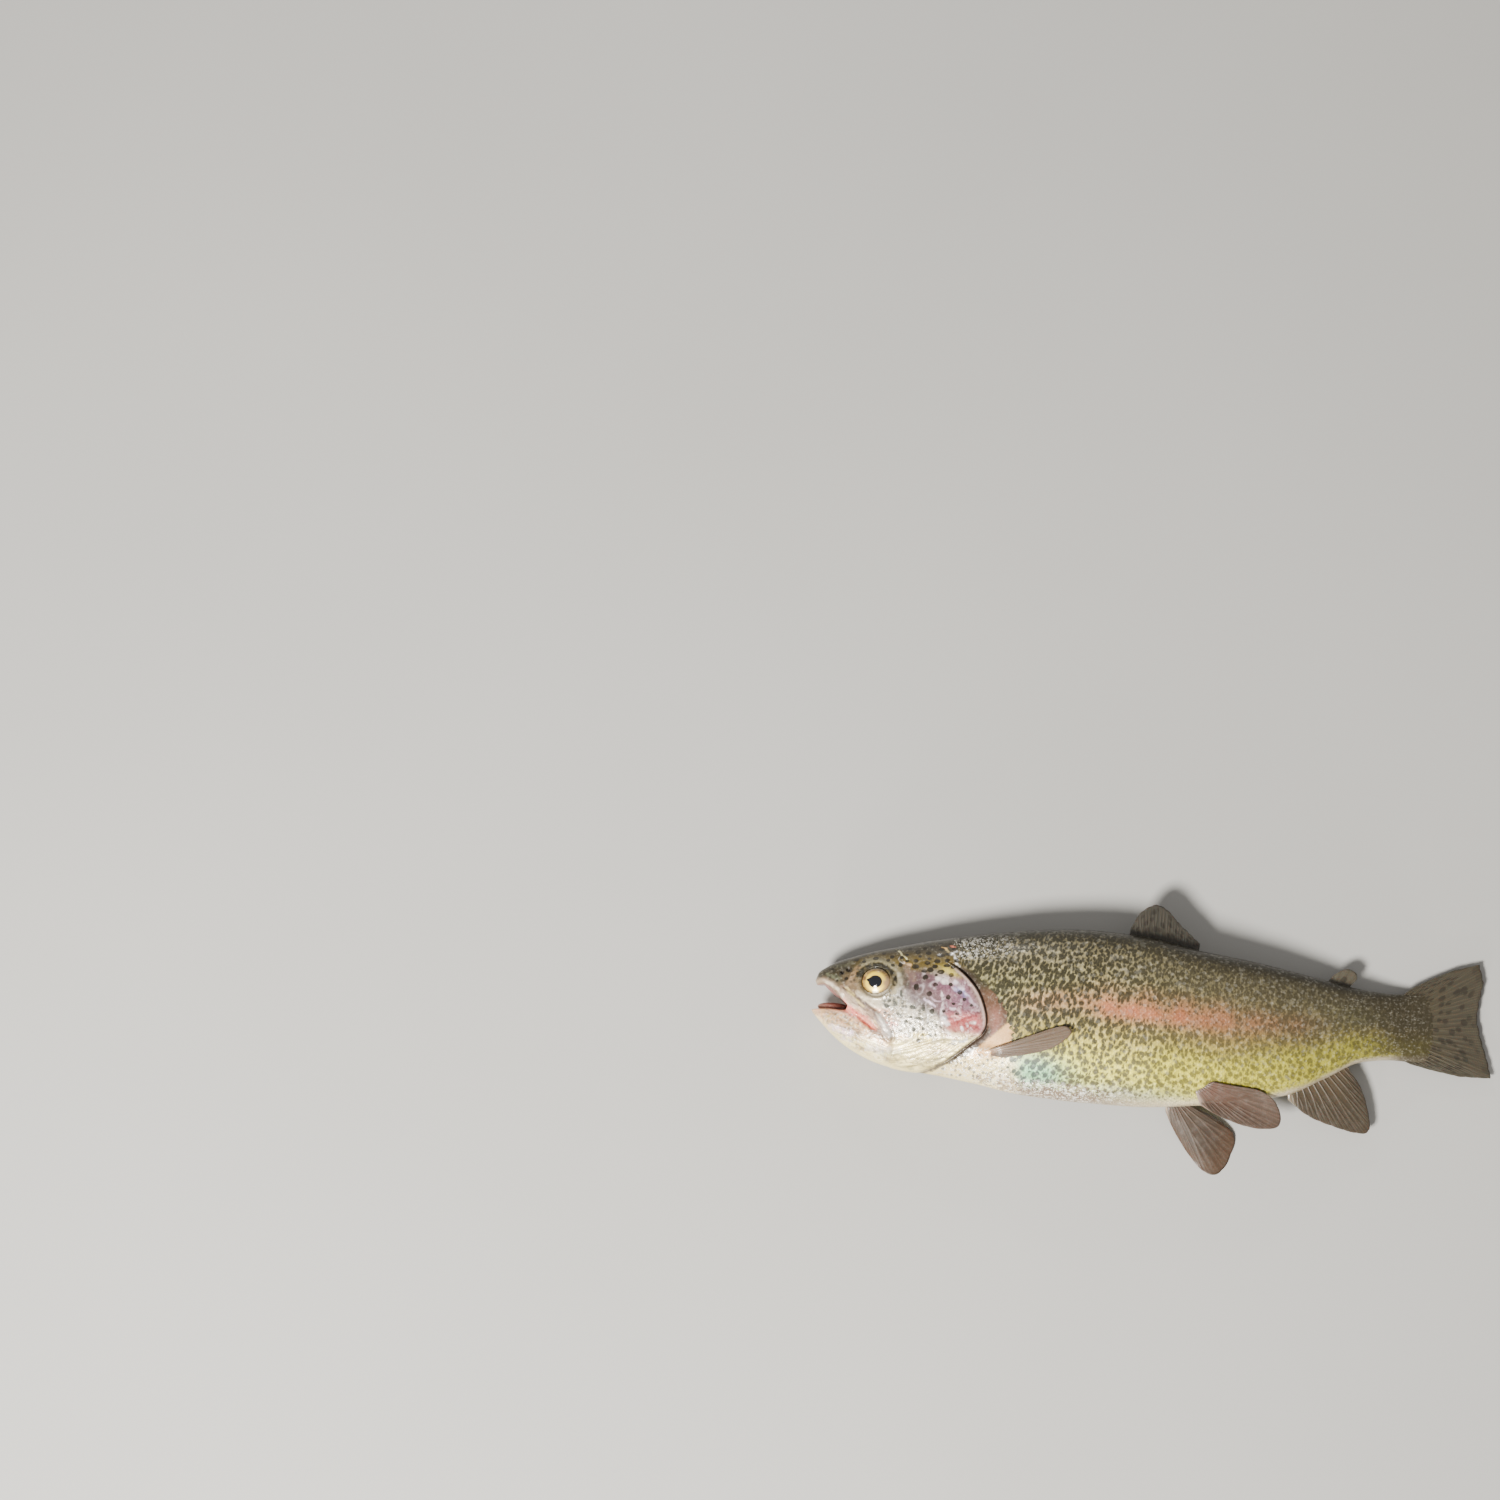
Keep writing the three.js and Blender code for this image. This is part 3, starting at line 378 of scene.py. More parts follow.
def relief(X, Y, Z):
    """How far the skin of the head stands out of the plain body, and masks that the paint uses."""
    Xb, Yb = np.broadcast_arrays(X, Y)
    side = sstep(1.2, 4.2, np.abs(Z))
    m = {}
    d = np.zeros(np.broadcast(X, Y, Z).shape)
    # gill cover, its slit and the shoulder behind it
    g, run = side_of(Xb, Yb, GILL)
    g = -g
    there = sstep(0.03, 0.16, run)
    front = there * sstep(-13.0, -1.0, g) * (g <= 0)
    behind = there * np.exp(-np.maximum(g, 0) / 4.2) * (g > 0)
    fade_low = 1 - 0.35 * sstep(0.72, 0.95, run)
    lift = 0.95 * front * fade_low * np.where(g > -0.8, np.sqrt(np.clip(1 - ((g + 0.8) / 0.8) ** 2, 0, 1)) * 0.55 + 0.45, 1.0)
    d = d + (lift - 0.85 * behind * fade_low) * side
    low = sstep(0.56, 0.80, run)
    slit = there * gauss((g - 0.36 - 0.25 * low) / (1 + 0.9 * low), 0.36) * (g > -0.3)
    d = d - (0.40 + 0.70 * sstep(1.0, 8.0, Yb) + 0.35 * sstep(-10.0, -14.0, Yb)) * slit * side
    m["gill"] = g
    m["gill_run"] = run
    m["slit"] = slit
    # plates
    mx = poly_dist(Xb, Yb, MAXILLA)
    m["maxilla"] = mx
    d = d + 0.62 * sstep(0.25, -0.75, mx) * side
    d = d - 0.30 * gauss(mx - 0.55, 0.5) * side * (Xb > 8.4)
    sx = poly_dist(Xb, Yb, SUPRA)
    d = d + 0.26 * sstep(0.2, -0.5, sx) * side
    m["supra"] = sx
    mm = poly_dist(Xb, Yb, MEMBRANE)
    m["membrane"] = mm
    d = d - 0.95 * sstep(0.35, -0.9, mm) * side
    # lips
    ld = np.abs(side_of(Xb, Yb, LIP)[0])
    m["lip"] = ld
    d = d + 0.42 * gauss(ld, 1.15) * (1 - 0.8 * sstep(8.5, 11.5, Xb)) - 0.16 * gauss(ld - 2.2, 0.55) * sstep(12.0, 8.0, Xb)
    rd, rrun = side_of(Xb, Yb, JAW_RIM)
    m["rim"] = rd
    d = d + 0.34 * gauss(rd + 0.1, 0.85) * (1 - sstep(0.8, 1.0, rrun)) - 0.22 * gauss(np.abs(rd) - 2.3, 0.6) * (Yb < -8) * sstep(-2, 1, Xb) * (1 - sstep(0.7, 1.0, rrun)) * side
    # cheek furrows
    pd, prun = side_of(Xb, Yb, PREOP)
    m["preop"] = pd
    d = d - 0.17 * gauss(pd, 0.85) * side + 0.10 * gauss(np.abs(pd) - 1.7, 1.1) * side
    od = np.abs(side_of(Xb, Yb, OP_FRONT)[0])
    d = d - 0.15 * gauss(od, 0.65) * side
    sd = np.abs(side_of(Xb, Yb, SUBOP)[0])
    d = d - 0.12 * gauss(sd, 0.5) * side
    idd = side_of(Xb, Yb, INTEROP)[0]
    d = d - 0.26 * gauss(idd, 0.5) * side
    m["interop"] = idd
    # branchiostegal rays: low ridges that follow the gill opening under the head
    zone = sstep(-14.6, -17.2, Yb + 0.12 * (Xb - 45)) * sstep(24.0, 31.0, Xb) * (g < 0) * sstep(-15.0, -11.0, g)
    zone = zone * sstep(0.2, 0.9, -side_of(Xb, Yb, INTEROP)[0] * -1.0)
    m["rays"] = zone
    ray = streaks(Xb, Yb, 8.0, 0.42, 3.4, 26)
    m["ray_lines"] = ray * zone
    d = d + (0.07 * zone * np.cos(g * 2 * math.pi / 1.75 + 0.9 * plane_noise(Xb, Yb, 0.35, 27)) - 0.13 * ray * zone) * sstep(2.5, 6.5, np.abs(Z))
    chin = sstep(31.0, 24.0, Xb) * sstep(-5.5, -8.0, Yb) * sstep(-3.0, 1.0, Xb)
    chs = streaks(Xb, Yb, -24.0, 0.40, 2.9, 28)
    m["chin_lines"] = chs * chin
    d = d - 0.07 * chs * chin * side
    # round the eye
    ex, ey = Xb - EYE["x"], (Yb - EYE["y"]) * EYE["r"] / EYE["ry"]
    r = np.hypot(ex, ey)
    ang = np.degrees(np.arctan2(ey, -ex))          # 0 forward, 90 up
    m["eye_r"] = r
    uneven = 0.5 + 0.5 * np.sin(np.radians(ang) * 3 + 1.0) * np.cos(np.radians(ang) * 2 - 0.6)
    d = d + (0.38 * gauss(r - 6.5, 0.62) - 0.20 * uneven * gauss(r - 7.8 - 0.3 * uneven, 0.75) + 0.10 * (1 - uneven) * gauss(r - 9.3, 1.1)) * side
    brow = gauss(r - 8.9, 1.0) * sstep(25, 65, ang) * sstep(165, 125, ang)
    d = d + 0.42 * brow * side
    # crinkled silver skin of the cheek and of the lower gill cover
    foil = np.maximum(creases(Xb, Yb, 2.7, 21, 0.30), 0.8 * creases(Xb, Yb, 1.3, 24, 0.16))
    where = sstep(20.0, 25.0, Xb) * sstep(50.0, 42.0, Xb) * sstep(3.5, -1.0, Yb + 0.10 * (Xb - 26)) * sstep(-19.0, -15.5, Yb) * (mx > 0.5)
    m["foil"] = foil * where
    d = d - 0.15 * foil * where * side + 0.05 * plane_noise(Xb, Yb, 2.4, 29) * where * side
    cover = there * (g < -0.6) * sstep(-22.0, -17.0, g) * sstep(12.0, 9.0, Yb) * sstep(-17.0, -15.0, Yb) * (1 - where)
    cov = creases(Xb, Yb, 1.7, 31, 0.17)
    m["cover_lines"] = cov * cover
    d = d - 0.075 * cov * cover * side
    eyelid = gauss(r - 9.6, 2.0) * sstep(-60, -20, ang) * sstep(200, 160, ang)
    d = d - 0.07 * creases(Xb, Yb, 1.6, 33) * eyelid * side
    d = d + 0.045 * plane_noise(Xb, Yb, 1.1, 23) * side * sstep(-4, 2, Xb) * sstep(66, 56, Xb)
    # pits
    for px, py, pr in NOSTRILS:
        q = np.hypot((Xb - px) * 0.9, Yb - py)
        d = d - 0.85 * sstep(pr + 0.25, pr - 0.35, q) * side + 0.16 * gauss(q - pr - 0.45, 0.4) * side
    pit = np.zeros(Xb.shape)
    for px, py, pr in PORES:
        pit = np.maximum(pit, gauss(np.hypot(Xb - px, Yb - py), pr))
    m["pores"] = pit
    d = d - 0.30 * pit * side
    # nape: a low crest where the scales begin, cheek muscle, flat crown
    d = d + 0.35 * gauss(np.hypot((Xb - 33.5) / 1.0, (Yb + 7.0) / 1.5), 5.2) * side
    d = d - 0.30 * gauss(np.hypot((Xb - 31.0) / 1.3, (Yb - 9.6)), 3.0) * side
    # fleshy base of the breast fin
    d = d + 1.15 * gauss(np.hypot((Xb - 64.6) / 1.7, Yb + 20.2), 1.9) * side
    return d, m


def plane_noise(x, y, k, seed):
    r = np.random.default_rng(seed)
    out = 0.0
    for _ in range(8):
        a, w = r.uniform(0, 2 * math.pi), k * r.uniform(0.6, 1.6)
        out = out + np.sin(w * (math.cos(a) * x + math.sin(a) * y) + r.uniform(0, 6.28))
    return out / 3.0


def skin_fields(X, Y, Z, base_only=False):
    body = loft_dist(X, Y, Z, BACK, BELLY, HALF, -2.35, INSET)
    body = smax(body, X - 237.2, 0.6)
    Xb, Yb = np.broadcast_arrays(X, Y)
    if base_only:
        return body
    d, m = relief(X, Y, Z)
    zj = poly_dist(Xb, Yb, JAW_ZONE)
    jaw = loft_dist(X, Y, Z, JBACK, JBELLY, JHALF, -3.35, INSET)
    w = sstep(0.9, -0.9, zj)
    u = body * (1 - w) + jaw * w
    head = sstep(78.0, 66.0, Xb)
    u = u - d * head
    # gape and throat
    gp = poly_dist(Xb, Yb, GAPE)
    ca, sa = math.cos(-0.42), math.sin(-0.42)
    tx = (X - 8.0) * ca + (Y + 4.6) * sa
    ty = -(X - 8.0) * sa + (Y + 4.6) * ca
    q = np.sqrt((tx / 15.0) ** 2 + (ty / 3.7) ** 2 + (Z / 5.0) ** 2)
    throat = (q - 1) * 3.9
    floor_ = (np.sqrt(((X - 4.0) / 7.6) ** 2 + ((Y + 5.3) / 1.9) ** 2 + (Z / 3.7) ** 2) - 1) * 1.9
    tongue = (np.sqrt(((X - 6.2) / 7.6) ** 2 + ((Y + 5.7 + 0.10 * (X - 6.2)) / 2.3) ** 2 + (Z / 2.8) ** 2) - 1) * 2.0
    ax, ay = (X - 4.6) * 0.76 - (Y - 2.4) * 0.65, (X - 4.6) * 0.65 + (Y - 2.4) * 0.76
    palate = (np.sqrt((ax / 6.4) ** 2 + (ay / 1.9) ** 2 + (Z / 3.4) ** 2) - 1) * 1.8
    u = smax(u, -gp, 0.55)
    u = smax(u, -throat, 0.5)
    u = smax(u, -floor_, 0.5)
    u = smin(u, tongue, 0.6)
    u = smin(u, palate, 0.6)
    # eye sockets
    for s in (1, -1):
        ct, st = math.cos(EYE["tilt"] * s), math.sin(EYE["tilt"] * s)
        dx, dy, dz = X - EYE["x"], Y - EYE["y"], Z - EYE["z"] * s
        lx = dx * ct + dz * st
        lz = -dx * st + dz * ct
        e = np.sqrt((lx / (EYE["r"] + 0.12)) ** 2 + (dy / (EYE["ry"] + 0.12)) ** 2 + (lz / (EYE["depth"] + 0.15)) ** 2)
        u = smax(u, -(e - 1) * 4.0, 0.30)
    return u, m, throat, gp


def skin_dist(P):
    return skin_fields(P[:, 0], P[:, 1], P[:, 2])[0]


# ---------------------------------------------------------------- surface nets
def surface_nets(F, xs, ys, zs):
    nx, ny, nz = F.shape
    ins = F < 0
    c = np.zeros((nx - 1, ny - 1, nz - 1), np.int8)
    for i in (0, 1):
        for j in (0, 1):
            for k in (0, 1):
                c += ins[i:nx - 1 + i, j:ny - 1 + j, k:nz - 1 + k]
    act = (c > 0) & (c < 8)
    ids = np.full(act.shape, -1, np.int64)
    I, J, K = np.nonzero(act)
    ids[I, J, K] = np.arange(len(I))
    acc = np.zeros((len(I), 3))
    cnt = np.zeros(len(I))
    corners = [(i, j, k) for i in (0, 1) for j in (0, 1) for k in (0, 1)]
    val = {q: F[I + q[0], J + q[1], K + q[2]] for q in corners}
    for a in corners:
        for ax in range(3):
            if a[ax] == 1:
                continue
            b = list(a)
            b[ax] = 1
            b = tuple(b)
            va, vb = val[a], val[b]
            cross = (va < 0) != (vb < 0)
            t = np.where(cross, va / np.where(cross, va - vb, 1.0), 0.0)
            for dim in range(3):
                acc[:, dim] += np.where(cross, a[dim] + (t if dim == ax else 0.0), 0.0)
            cnt += cross
    acc /= cnt[:, None]
    V = np.stack([xs[I] + acc[:, 0] * (xs[I + 1] - xs[I]), ys[J] + acc[:, 1] * (ys[J + 1] - ys[J]), zs[K] + acc[:, 2] * (zs[K + 1] - zs[K])], 1)
    quads = []
    for ax in range(3):
        sl0 = [slice(1, -1)] * 3
        sl1 = [slice(1, -1)] * 3
        sl0[ax] = slice(0, F.shape[ax] - 1)
        sl1[ax] = slice(1, F.shape[ax])
        a, b = ins[tuple(sl0)], ins[tuple(sl1)]
        off = [1, 1, 1]
        off[ax] = 0
        for flip, mask in ((False, a & ~b), (True, ~a & b)):
            E = np.argwhere(mask) + np.array(off)
            if not len(E):
                continue
            u, w = (ax + 1) % 3, (ax + 2) % 3
            q = []
            for du, dw in ((-1, -1), (0, -1), (0, 0), (-1, 0)):
                e = E.copy()
                e[:, u] += du
                e[:, w] += dw
                q.append(ids[e[:, 0], e[:, 1], e[:, 2]])
            q = np.stack(q if not flip else q[::-1], 1)
            quads.append(q)
    return V, np.vstack(quads)


def make_mesh(name, V, faces, world=True, smooth=True):
    me = bpy.data.meshes.new(name)
    V = np.asarray(V, float)
    faces = np.asarray(faces)
    co = to_world(V) if world else V
    me.vertices.add(len(co))
    me.vertices.foreach_set("co", co.astype(np.float32).ravel())
    n, k = faces.shape
    me.loops.add(n * k)
    me.loops.foreach_set("vertex_index", faces.astype(np.int32).ravel())
    me.polygons.add(n)
    me.polygons.foreach_set("loop_start", np.arange(0, n * k, k, dtype=np.int32))
    me.polygons.foreach_set("loop_total", np.full(n, k, np.int32))
    if smooth:
        me.polygons.foreach_set("use_smooth", np.ones(n, bool))
    me.update(calc_edges=True)
    ob = bpy.data.objects.new(name, me)
    bpy.context.scene.collection.objects.link(ob)
    return ob


def attr(me, name, data):
    data = np.asarray(data, np.float32)
    if data.ndim == 1:
        a = me.attributes.new(name, "FLOAT", "POINT")
        a.data.foreach_set("value", data)
    elif data.shape[1] == 3:
        a = me.attributes.new(name, "FLOAT_VECTOR", "POINT")
        a.data.foreach_set("vector", data.ravel())
    else:
        a = me.attributes.new(name, "FLOAT_COLOR", "POINT")
        a.data.foreach_set("color", data.ravel())


# ------------------------------------------------------------ body coordinates
GX = np.concatenate([np.linspace(-2.3, 10, 26), np.linspace(11, 237, 227)])
NA = 181
_ang = np.linspace(0, math.pi, NA)
_cc = np.sign(np.cos(_ang)) * np.abs(np.cos(_ang)) ** (2 / POWER)
_ss = np.abs(np.sin(_ang)) ** (2 / POWER)


def section(x, inset=INSET):
    """The plain body's section at stations x: rings of (y, z) from the back to the belly, left side."""
    x = np.atleast_1d(x)
    b = BACK(x) - inset
    l = BELLY(x) + inset
    mid = ((b + l) / 2)[:, None]
    tall = np.maximum((b - l) / 2, 0.25)[:, None]
    wide = np.maximum(HALF(x) - inset, 0.25)[:, None]
    return mid + tall * _cc, wide * _ss * (1 - EGG * _cc)


def girth_table(x):
    y, z = section(x)
    s = np.hypot(np.diff(y, axis=1), np.diff(z, axis=1))
    s = np.concatenate([np.zeros((len(y), 1)), np.cumsum(s, 1)], 1)
    return y, z, s


_gy, _gz, _gs = girth_table(GX)
_gt = _gs[:, -1]
GIRTH = lambda x: np.interp(x, GX, _gt)
_gn = _gs / _gt[:, None]


def girth_v(X, Y, Z):
    """Where a point lies round the body: 0 at the back, 1 at the belly, by length of skin."""
    b = BACK(X) - INSET
    l = BELLY(X) + INSET
    mid = (b + l) / 2
    tall = np.maximum((b - l) / 2, 0.25)
    c = (Y - mid) / tall
    wide = np.maximum(HALF(X) - INSET, 0.25) * (1 - EGG * np.clip(c, -1.2, 1.2))
    s = np.abs(Z) / wide
    a = np.arctan2(np.abs(s) ** (POWER / 2), np.sign(c) * np.abs(c) ** (POWER / 2))
    i = np.clip(np.searchsorted(GX, X) - 1, 0, len(GX) - 2)
    t = (X - GX[i]) / (GX[i + 1] - GX[i])
    t = np.clip(t, 0, 1)
    f = a / math.pi * (NA - 1)
    j = np.clip(f.astype(int), 0, NA - 2)
    r = f - j
    g0 = _gn[i, j] * (1 - r) + _gn[i, j + 1] * r
    g1 = _gn[i + 1, j] * (1 - r) + _gn[i + 1, j + 1] * r
    return g0 * (1 - t) + g1 * t


def surf_point(x, v, inset=INSET):
    """A point of the plain body from its station and girth fraction, left side."""
    i = np.clip(np.searchsorted(GX, x) - 1, 0, len(GX) - 2)
    t = np.clip((x - GX[i]) / (GX[i + 1] - GX[i]), 0, 1)
    a = np.empty_like(v)
    # invert the girth table by a few steps of search on the blended row
    lo = np.zeros(len(v))
    hi = np.full(len(v), NA - 1.0)
    for _ in range(16):
        f = (lo + hi) / 2
        j = np.clip(f.astype(int), 0, NA - 2)
        r = f - j
        g = (_gn[i, j] * (1 - r) + _gn[i, j + 1] * r) * (1 - t) + (_gn[i + 1, j] * (1 - r) + _gn[i + 1, j + 1] * r) * t
        up = g < v
        lo = np.where(up, f, lo)
        hi = np.where(up, hi, f)
    a = (lo + hi) / 2 / (NA - 1) * math.pi
    c = np.sign(np.cos(a)) * np.abs(np.cos(a)) ** (2 / POWER)
    s = np.abs(np.sin(a)) ** (2 / POWER)
    b = BACK(x) - inset
    l = BELLY(x) + inset
    wide = np.maximum(HALF(x) - inset, 0.25)
    return np.stack([x, (b + l) / 2 + (b - l) / 2 * c, wide * s * (1 - EGG * c)], 1)


# ------------------------------------------------------------------------ paint
def hexc(h):
    v = np.array([int(h[i:i + 2], 16) / 255 for i in (1, 3, 5)])
    return np.where(v <= 0.04045, v / 12.92, ((v + 0.055) / 1.055) ** 2.4)


def rgb(*v):
    return np.array(v, float)


def mix(a, b, t):
    t = np.asarray(t)[..., None]
    return a * (1 - t) + b * t


def wave(P, k, seed):
    """Cheap smooth noise, about -1 to 1, from a few turned waves."""
    r = np.random.default_rng(seed)
    out = np.zeros(len(P))
    for _ in range(9):
        w = r.normal(size=3)
        w *= k * r.uniform(0.6, 1.5) / np.linalg.norm(w)
        out += np.sin(P @ w + r.uniform(0, 6.28))
    return out / 4.0


# the trout's colours, by zone
BACK_C = rgb(0.021, 0.017, 0.010)
UPPER_C = rgb(0.165, 0.143, 0.078)
FLANK_C = rgb(0.222, 0.203, 0.094)
LOWER_C = rgb(0.368, 0.300, 0.082)
YELLOW_C = rgb(0.478, 0.436, 0.052)
BELLY_C = rgb(0.560, 0.480, 0.330)
ROSE_C = rgb(0.440, 0.128, 0.066)
TEAL_C = rgb(0.195, 0.395, 0.232)
TAIL_C = rgb(0.046, 0.037, 0.021)
CROWN_C = rgb(0.100, 0.068, 0.012)
SNOUT_C = rgb(0.032, 0.026, 0.013)
TEMPLE_C = rgb(0.130, 0.095, 0.050)
CHEEK_C = rgb(0.970, 0.850, 0.640)
LILAC_C = rgb(0.198, 0.071, 0.122)
MAUVE_C = rgb(0.114, 0.067, 0.076)
PINK_C = rgb(0.430, 0.084, 0.080)
CREAM_C = rgb(0.850, 0.480, 0.200)
GOLD_C = rgb(0.640, 0.510, 0.090)
WHITE_C = rgb(0.950, 0.800, 0.390)
GIRDLE_C = rgb(0.115, 0.048, 0.030)
GUM_C = rgb(0.250, 0.066, 0.050)
DARK_C = rgb(0.020, 0.013, 0.010)


def paint(P, m=None):
    """Ground colour of the skin and coat, and the masks its markings are made from.
    Everything follows the body's own girth and length."""
    X, Y, Z = P[:, 0], P[:, 1], P[:, 2]
    v = girth_v(X, Y, Z)
    n1 = wave(P, 0.22, 1)
    n2 = wave(P, 0.6, 2)
    n3 = wave(P, 0.09, 3)
    vv = v + 0.016 * n1 + 0.008 * n2
    head = sstep(64, 57, X + 1.6 * n1 + 0.35 * (Y + 4))
    # trunk: dark olive back, tan flank, yellow-green lower side, silver belly
    col = mix(BACK_C[None].repeat(len(P), 0), UPPER_C, sstep(0.06, 0.22, vv))
    col = mix(col, FLANK_C, sstep(0.24, 0.42, vv))
    col = mix(col, LOWER_C * (0.72 + 0.28 * sstep(74, 98, X))[:, None], sstep(0.46, 0.60, vv))
    yel = sstep(0.56, 0.72, vv + 0.02 * n3) * sstep(68, 96, X)
    col = mix(col, YELLOW_C, yel)
    edge = 0.915 + 0.015 * n3 - 0.07 * sstep(96, 70, X)
    col = mix(col, mix(BELLY_C[None], WHITE_C, 0.7 * sstep(84, 64, X)), sstep(edge - 0.06, edge + 0.015, vv))
    # pink stripe along the middle of the side
    ms = 0.447 + 0.014 * sstep(120, 178, X) - 0.008 * n3
    wd = 0.066 + 0.030 * sstep(125, 165, X)
    stripe = gauss(vv - ms, wd) * sstep(66, 96, X) * sstep(208, 172, X) * (0.80 + 0.20 * n2)
    stripe = np.clip(stripe * (0.38 + 0.62 * sstep(97, 110, X) * gauss(np.maximum(X - 126, 0), 36)), 0, 1)
    col = mix(col, ROSE_C, 0.92 * stripe)
    col = mix(col, rgb(0.50, 0.30, 0.16), 0.6 * gauss(X - 84, 9) * gauss(vv - 0.45, 0.04))
    # blue-green sheen low on the front flank, and painted shade along its lower edge
    teal = gauss(X - 81.5, 14.0) * gauss(vv - 0.805, 0.075)
    col = mix(col, TEAL_C, np.clip(1.25 * teal, 0, 1))
    teal2 = gauss(X - 112, 28) * gauss(vv - 0.87, 0.055)
    col = mix(col, mix(TEAL_C[None], BELLY_C, 0.5), np.clip(0.8 * teal2, 0, 1))
    # painted shade: a dark pinkish-brown band along the belly's lower edge
    belly_edge_shade = gauss(X - 94, 27) * sstep(0.838, 0.880, vv + 0.012 * n2) * (1 - 0.60 * sstep(0.95, 1.0, vv))
    col = mix(col, rgb(0.135, 0.076, 0.052), 0.74 * belly_edge_shade)
    col = col * (1 + 0.16 * sstep(102, 80, X) * sstep(0.46, 0.34, vv))[:, None]
    col = col * (1 + gauss(X - 146, 22) * sstep(0.60, 0.78, vv) * sstep(0.98, 0.92, vv))[:, None] ** np.array([0.42, 0.42, 0.30])
    # the first scales of the breast are still as pale as the throat
    fore = sstep(79, 71, X) * sstep(0.72, 0.78, vv)
    col = mix(col, rgb(0.90, 0.72, 0.42), 0.80 * fore)
    # the tail end is browner and darker: partly its own colour, partly painted shade of the water it lay in
    dusk = sstep(108, 205, X) * (0.86 - 0.52 * sstep(0.55, 0.9, vv))
    col = mix(col, col * rgb(0.42, 0.42, 0.45) + 0.10 * TAIL_C, dusk)
    col = mix(col, TAIL_C, 0.90 * np.maximum(sstep(192, 226, X) * sstep(1.0, 0.80, vv), sstep(214, 226, X)))
    # head
    up = Y + 0.9 * n1
    hc = mix(CROWN_C[None].repeat(len(P), 0), BACK_C * 1.7, sstep(12.5, 18.0, up - 0.05 * (X - 20)))
    hc = mix(hc, TEMPLE_C, sstep(10.5, 6.0, up - 0.10 * (X - 26)))
    hc = mix(hc, GOLD_C, 0.9 * np.exp(-((X - 49.2 - 0.3 * n2) / 3.6) ** 2 - ((Y - 9.3 + 0.50 * (X - 49.2) + 0.5 * n2) / 1.7) ** 2))
    hc = mix(hc, CHEEK_C, sstep(3.4, -3.0, up - 0.10 * (X - 26)))
    back_eye = gauss(X - 30.8 - 0.12 * (Y - 4), 1.9) * sstep(-4, 2, Y) * sstep(13, 9, Y)
    hc = mix(hc, rgb(0.15, 0.125, 0.075), 0.60 * back_eye)
    pale_eye = gauss(X - 28.2, 1.3) * gauss(Y - 3.0, 4.5)
    hc = mix(hc, rgb(0.72, 0.64, 0.42), 0.8 * pale_eye)
    lil = sstep(29.5, 35.0, X + 0.4 * n2) * sstep(9.6, 7.0, Y + 0.5 * n1 + 0.10 * (X - 45)) * sstep(-11.5, -5.0, Y + 0.9 * n1 + 0.42 * (X - 45))
    hc = mix(hc, mix(MAUVE_C[None], LILAC_C, sstep(38, 50, X)), 0.93 * np.clip(lil, 0, 1))
    # painted highlight along the upper rear edge of the gill cover
    cover_edge_highlight = np.exp(-((X - 47.5) / 5.0) ** 2 - ((Y - 7.4 + 0.42 * (X - 47.5)) / 1.5) ** 2)
    hc = mix(hc, rgb(0.86, 0.76, 0.64), 0.72 * cover_edge_highlight * (0.6 + 0.4 * n2))
    pink = np.exp(-((X - 54.6 - 0.25 * n2) / 7.6) ** 6 - ((Y + 10.2 + 0.25 * n1 + 0.5 * n2) / 5.0) ** 4)
    hc = mix(hc, PINK_C, 0.93 * np.clip(pink, 0, 1))
    under = sstep(-13.0, -16.8, Y + 0.16 * (X - 30) * (X < 46) + 0.5 * n1)
    hc = mix(hc, WHITE_C, under)
    hc = mix(hc, rgb(0.80, 0.68, 0.36), 0.55 * gauss(Y + 15.8 - 0.02 * (X - 45), 1.6) * sstep(34, 42, X) * sstep(64, 56, X))
    snout = sstep(17, 7, X - 0.35 * (Y - 8)) * sstep(2.0, 6.5, Y)
    hc = mix(hc, SNOUT_C, 0.96 * snout)
    lore = gauss(X - 12.5, 3.6) * gauss(Y - 3.4 + 0.5 * (X - 12.5), 2.6)
    hc = mix(hc, rgb(0.25, 0.165, 0.095), 0.75 * lore)
    # lower jaw
    jawm = sstep(-4.6, -6.4, Y) * sstep(31, 23, X)
    hc = mix(hc, mix(rgb(0.96, 0.53, 0.33)[None], WHITE_C, sstep(-7.5, -13.0, Y + 0.36 * (X - 2) + 0.8 * n2)), jawm)
    hc = mix(hc, rgb(0.24, 0.16, 0.10), 0.55 * jawm * gauss(Y + 7.8 + 0.42 * (X - 4) * (X > 4), 1.2))
    col = mix(0.88 * col, hc, head)
    if m is not None:
        g = m["gill"]
        run = m["gill_run"]
        near = sstep(0.05, 0.16, run) * (X < 80)
        flap = Y + 10.0 - 0.85 * (X - 70.3) + 0.4 * n2       # the pale flap under the girdle lies below this line
        # the shoulder girdle behind the gill cover: reddish-brown, and painted darker as well for the shade under the
        # cover's overhanging edge
        girdle = near * sstep(-0.1, 0.5, g) * sstep(9.5, 6.4, g + 0.9 * n1) * sstep(13.5, 9.5, Y) * sstep(-0.7, 0.7, flap)
        gc = mix(rgb(0.030, 0.024, 0.010)[None].repeat(len(P), 0), rgb(0.105, 0.048, 0.028), sstep(6.5, 1.0, Y + 0.8 * n2))
        gc = mix(gc, rgb(0.155, 0.078, 0.054), sstep(-1.0, -7.0, Y + 0.8 * n2))
        col = mix(col, gc, 0.95 * girdle)
        col = mix(col, rgb(0.250, 0.102, 0.076), 0.70 * girdle * gauss(g - 3.8, 1.8) * sstep(-1.0, -6.0, Y))
        col = mix(col, rgb(0.060, 0.032, 0.020), 0.70 * girdle * gauss(g - 7.2, 0.8))
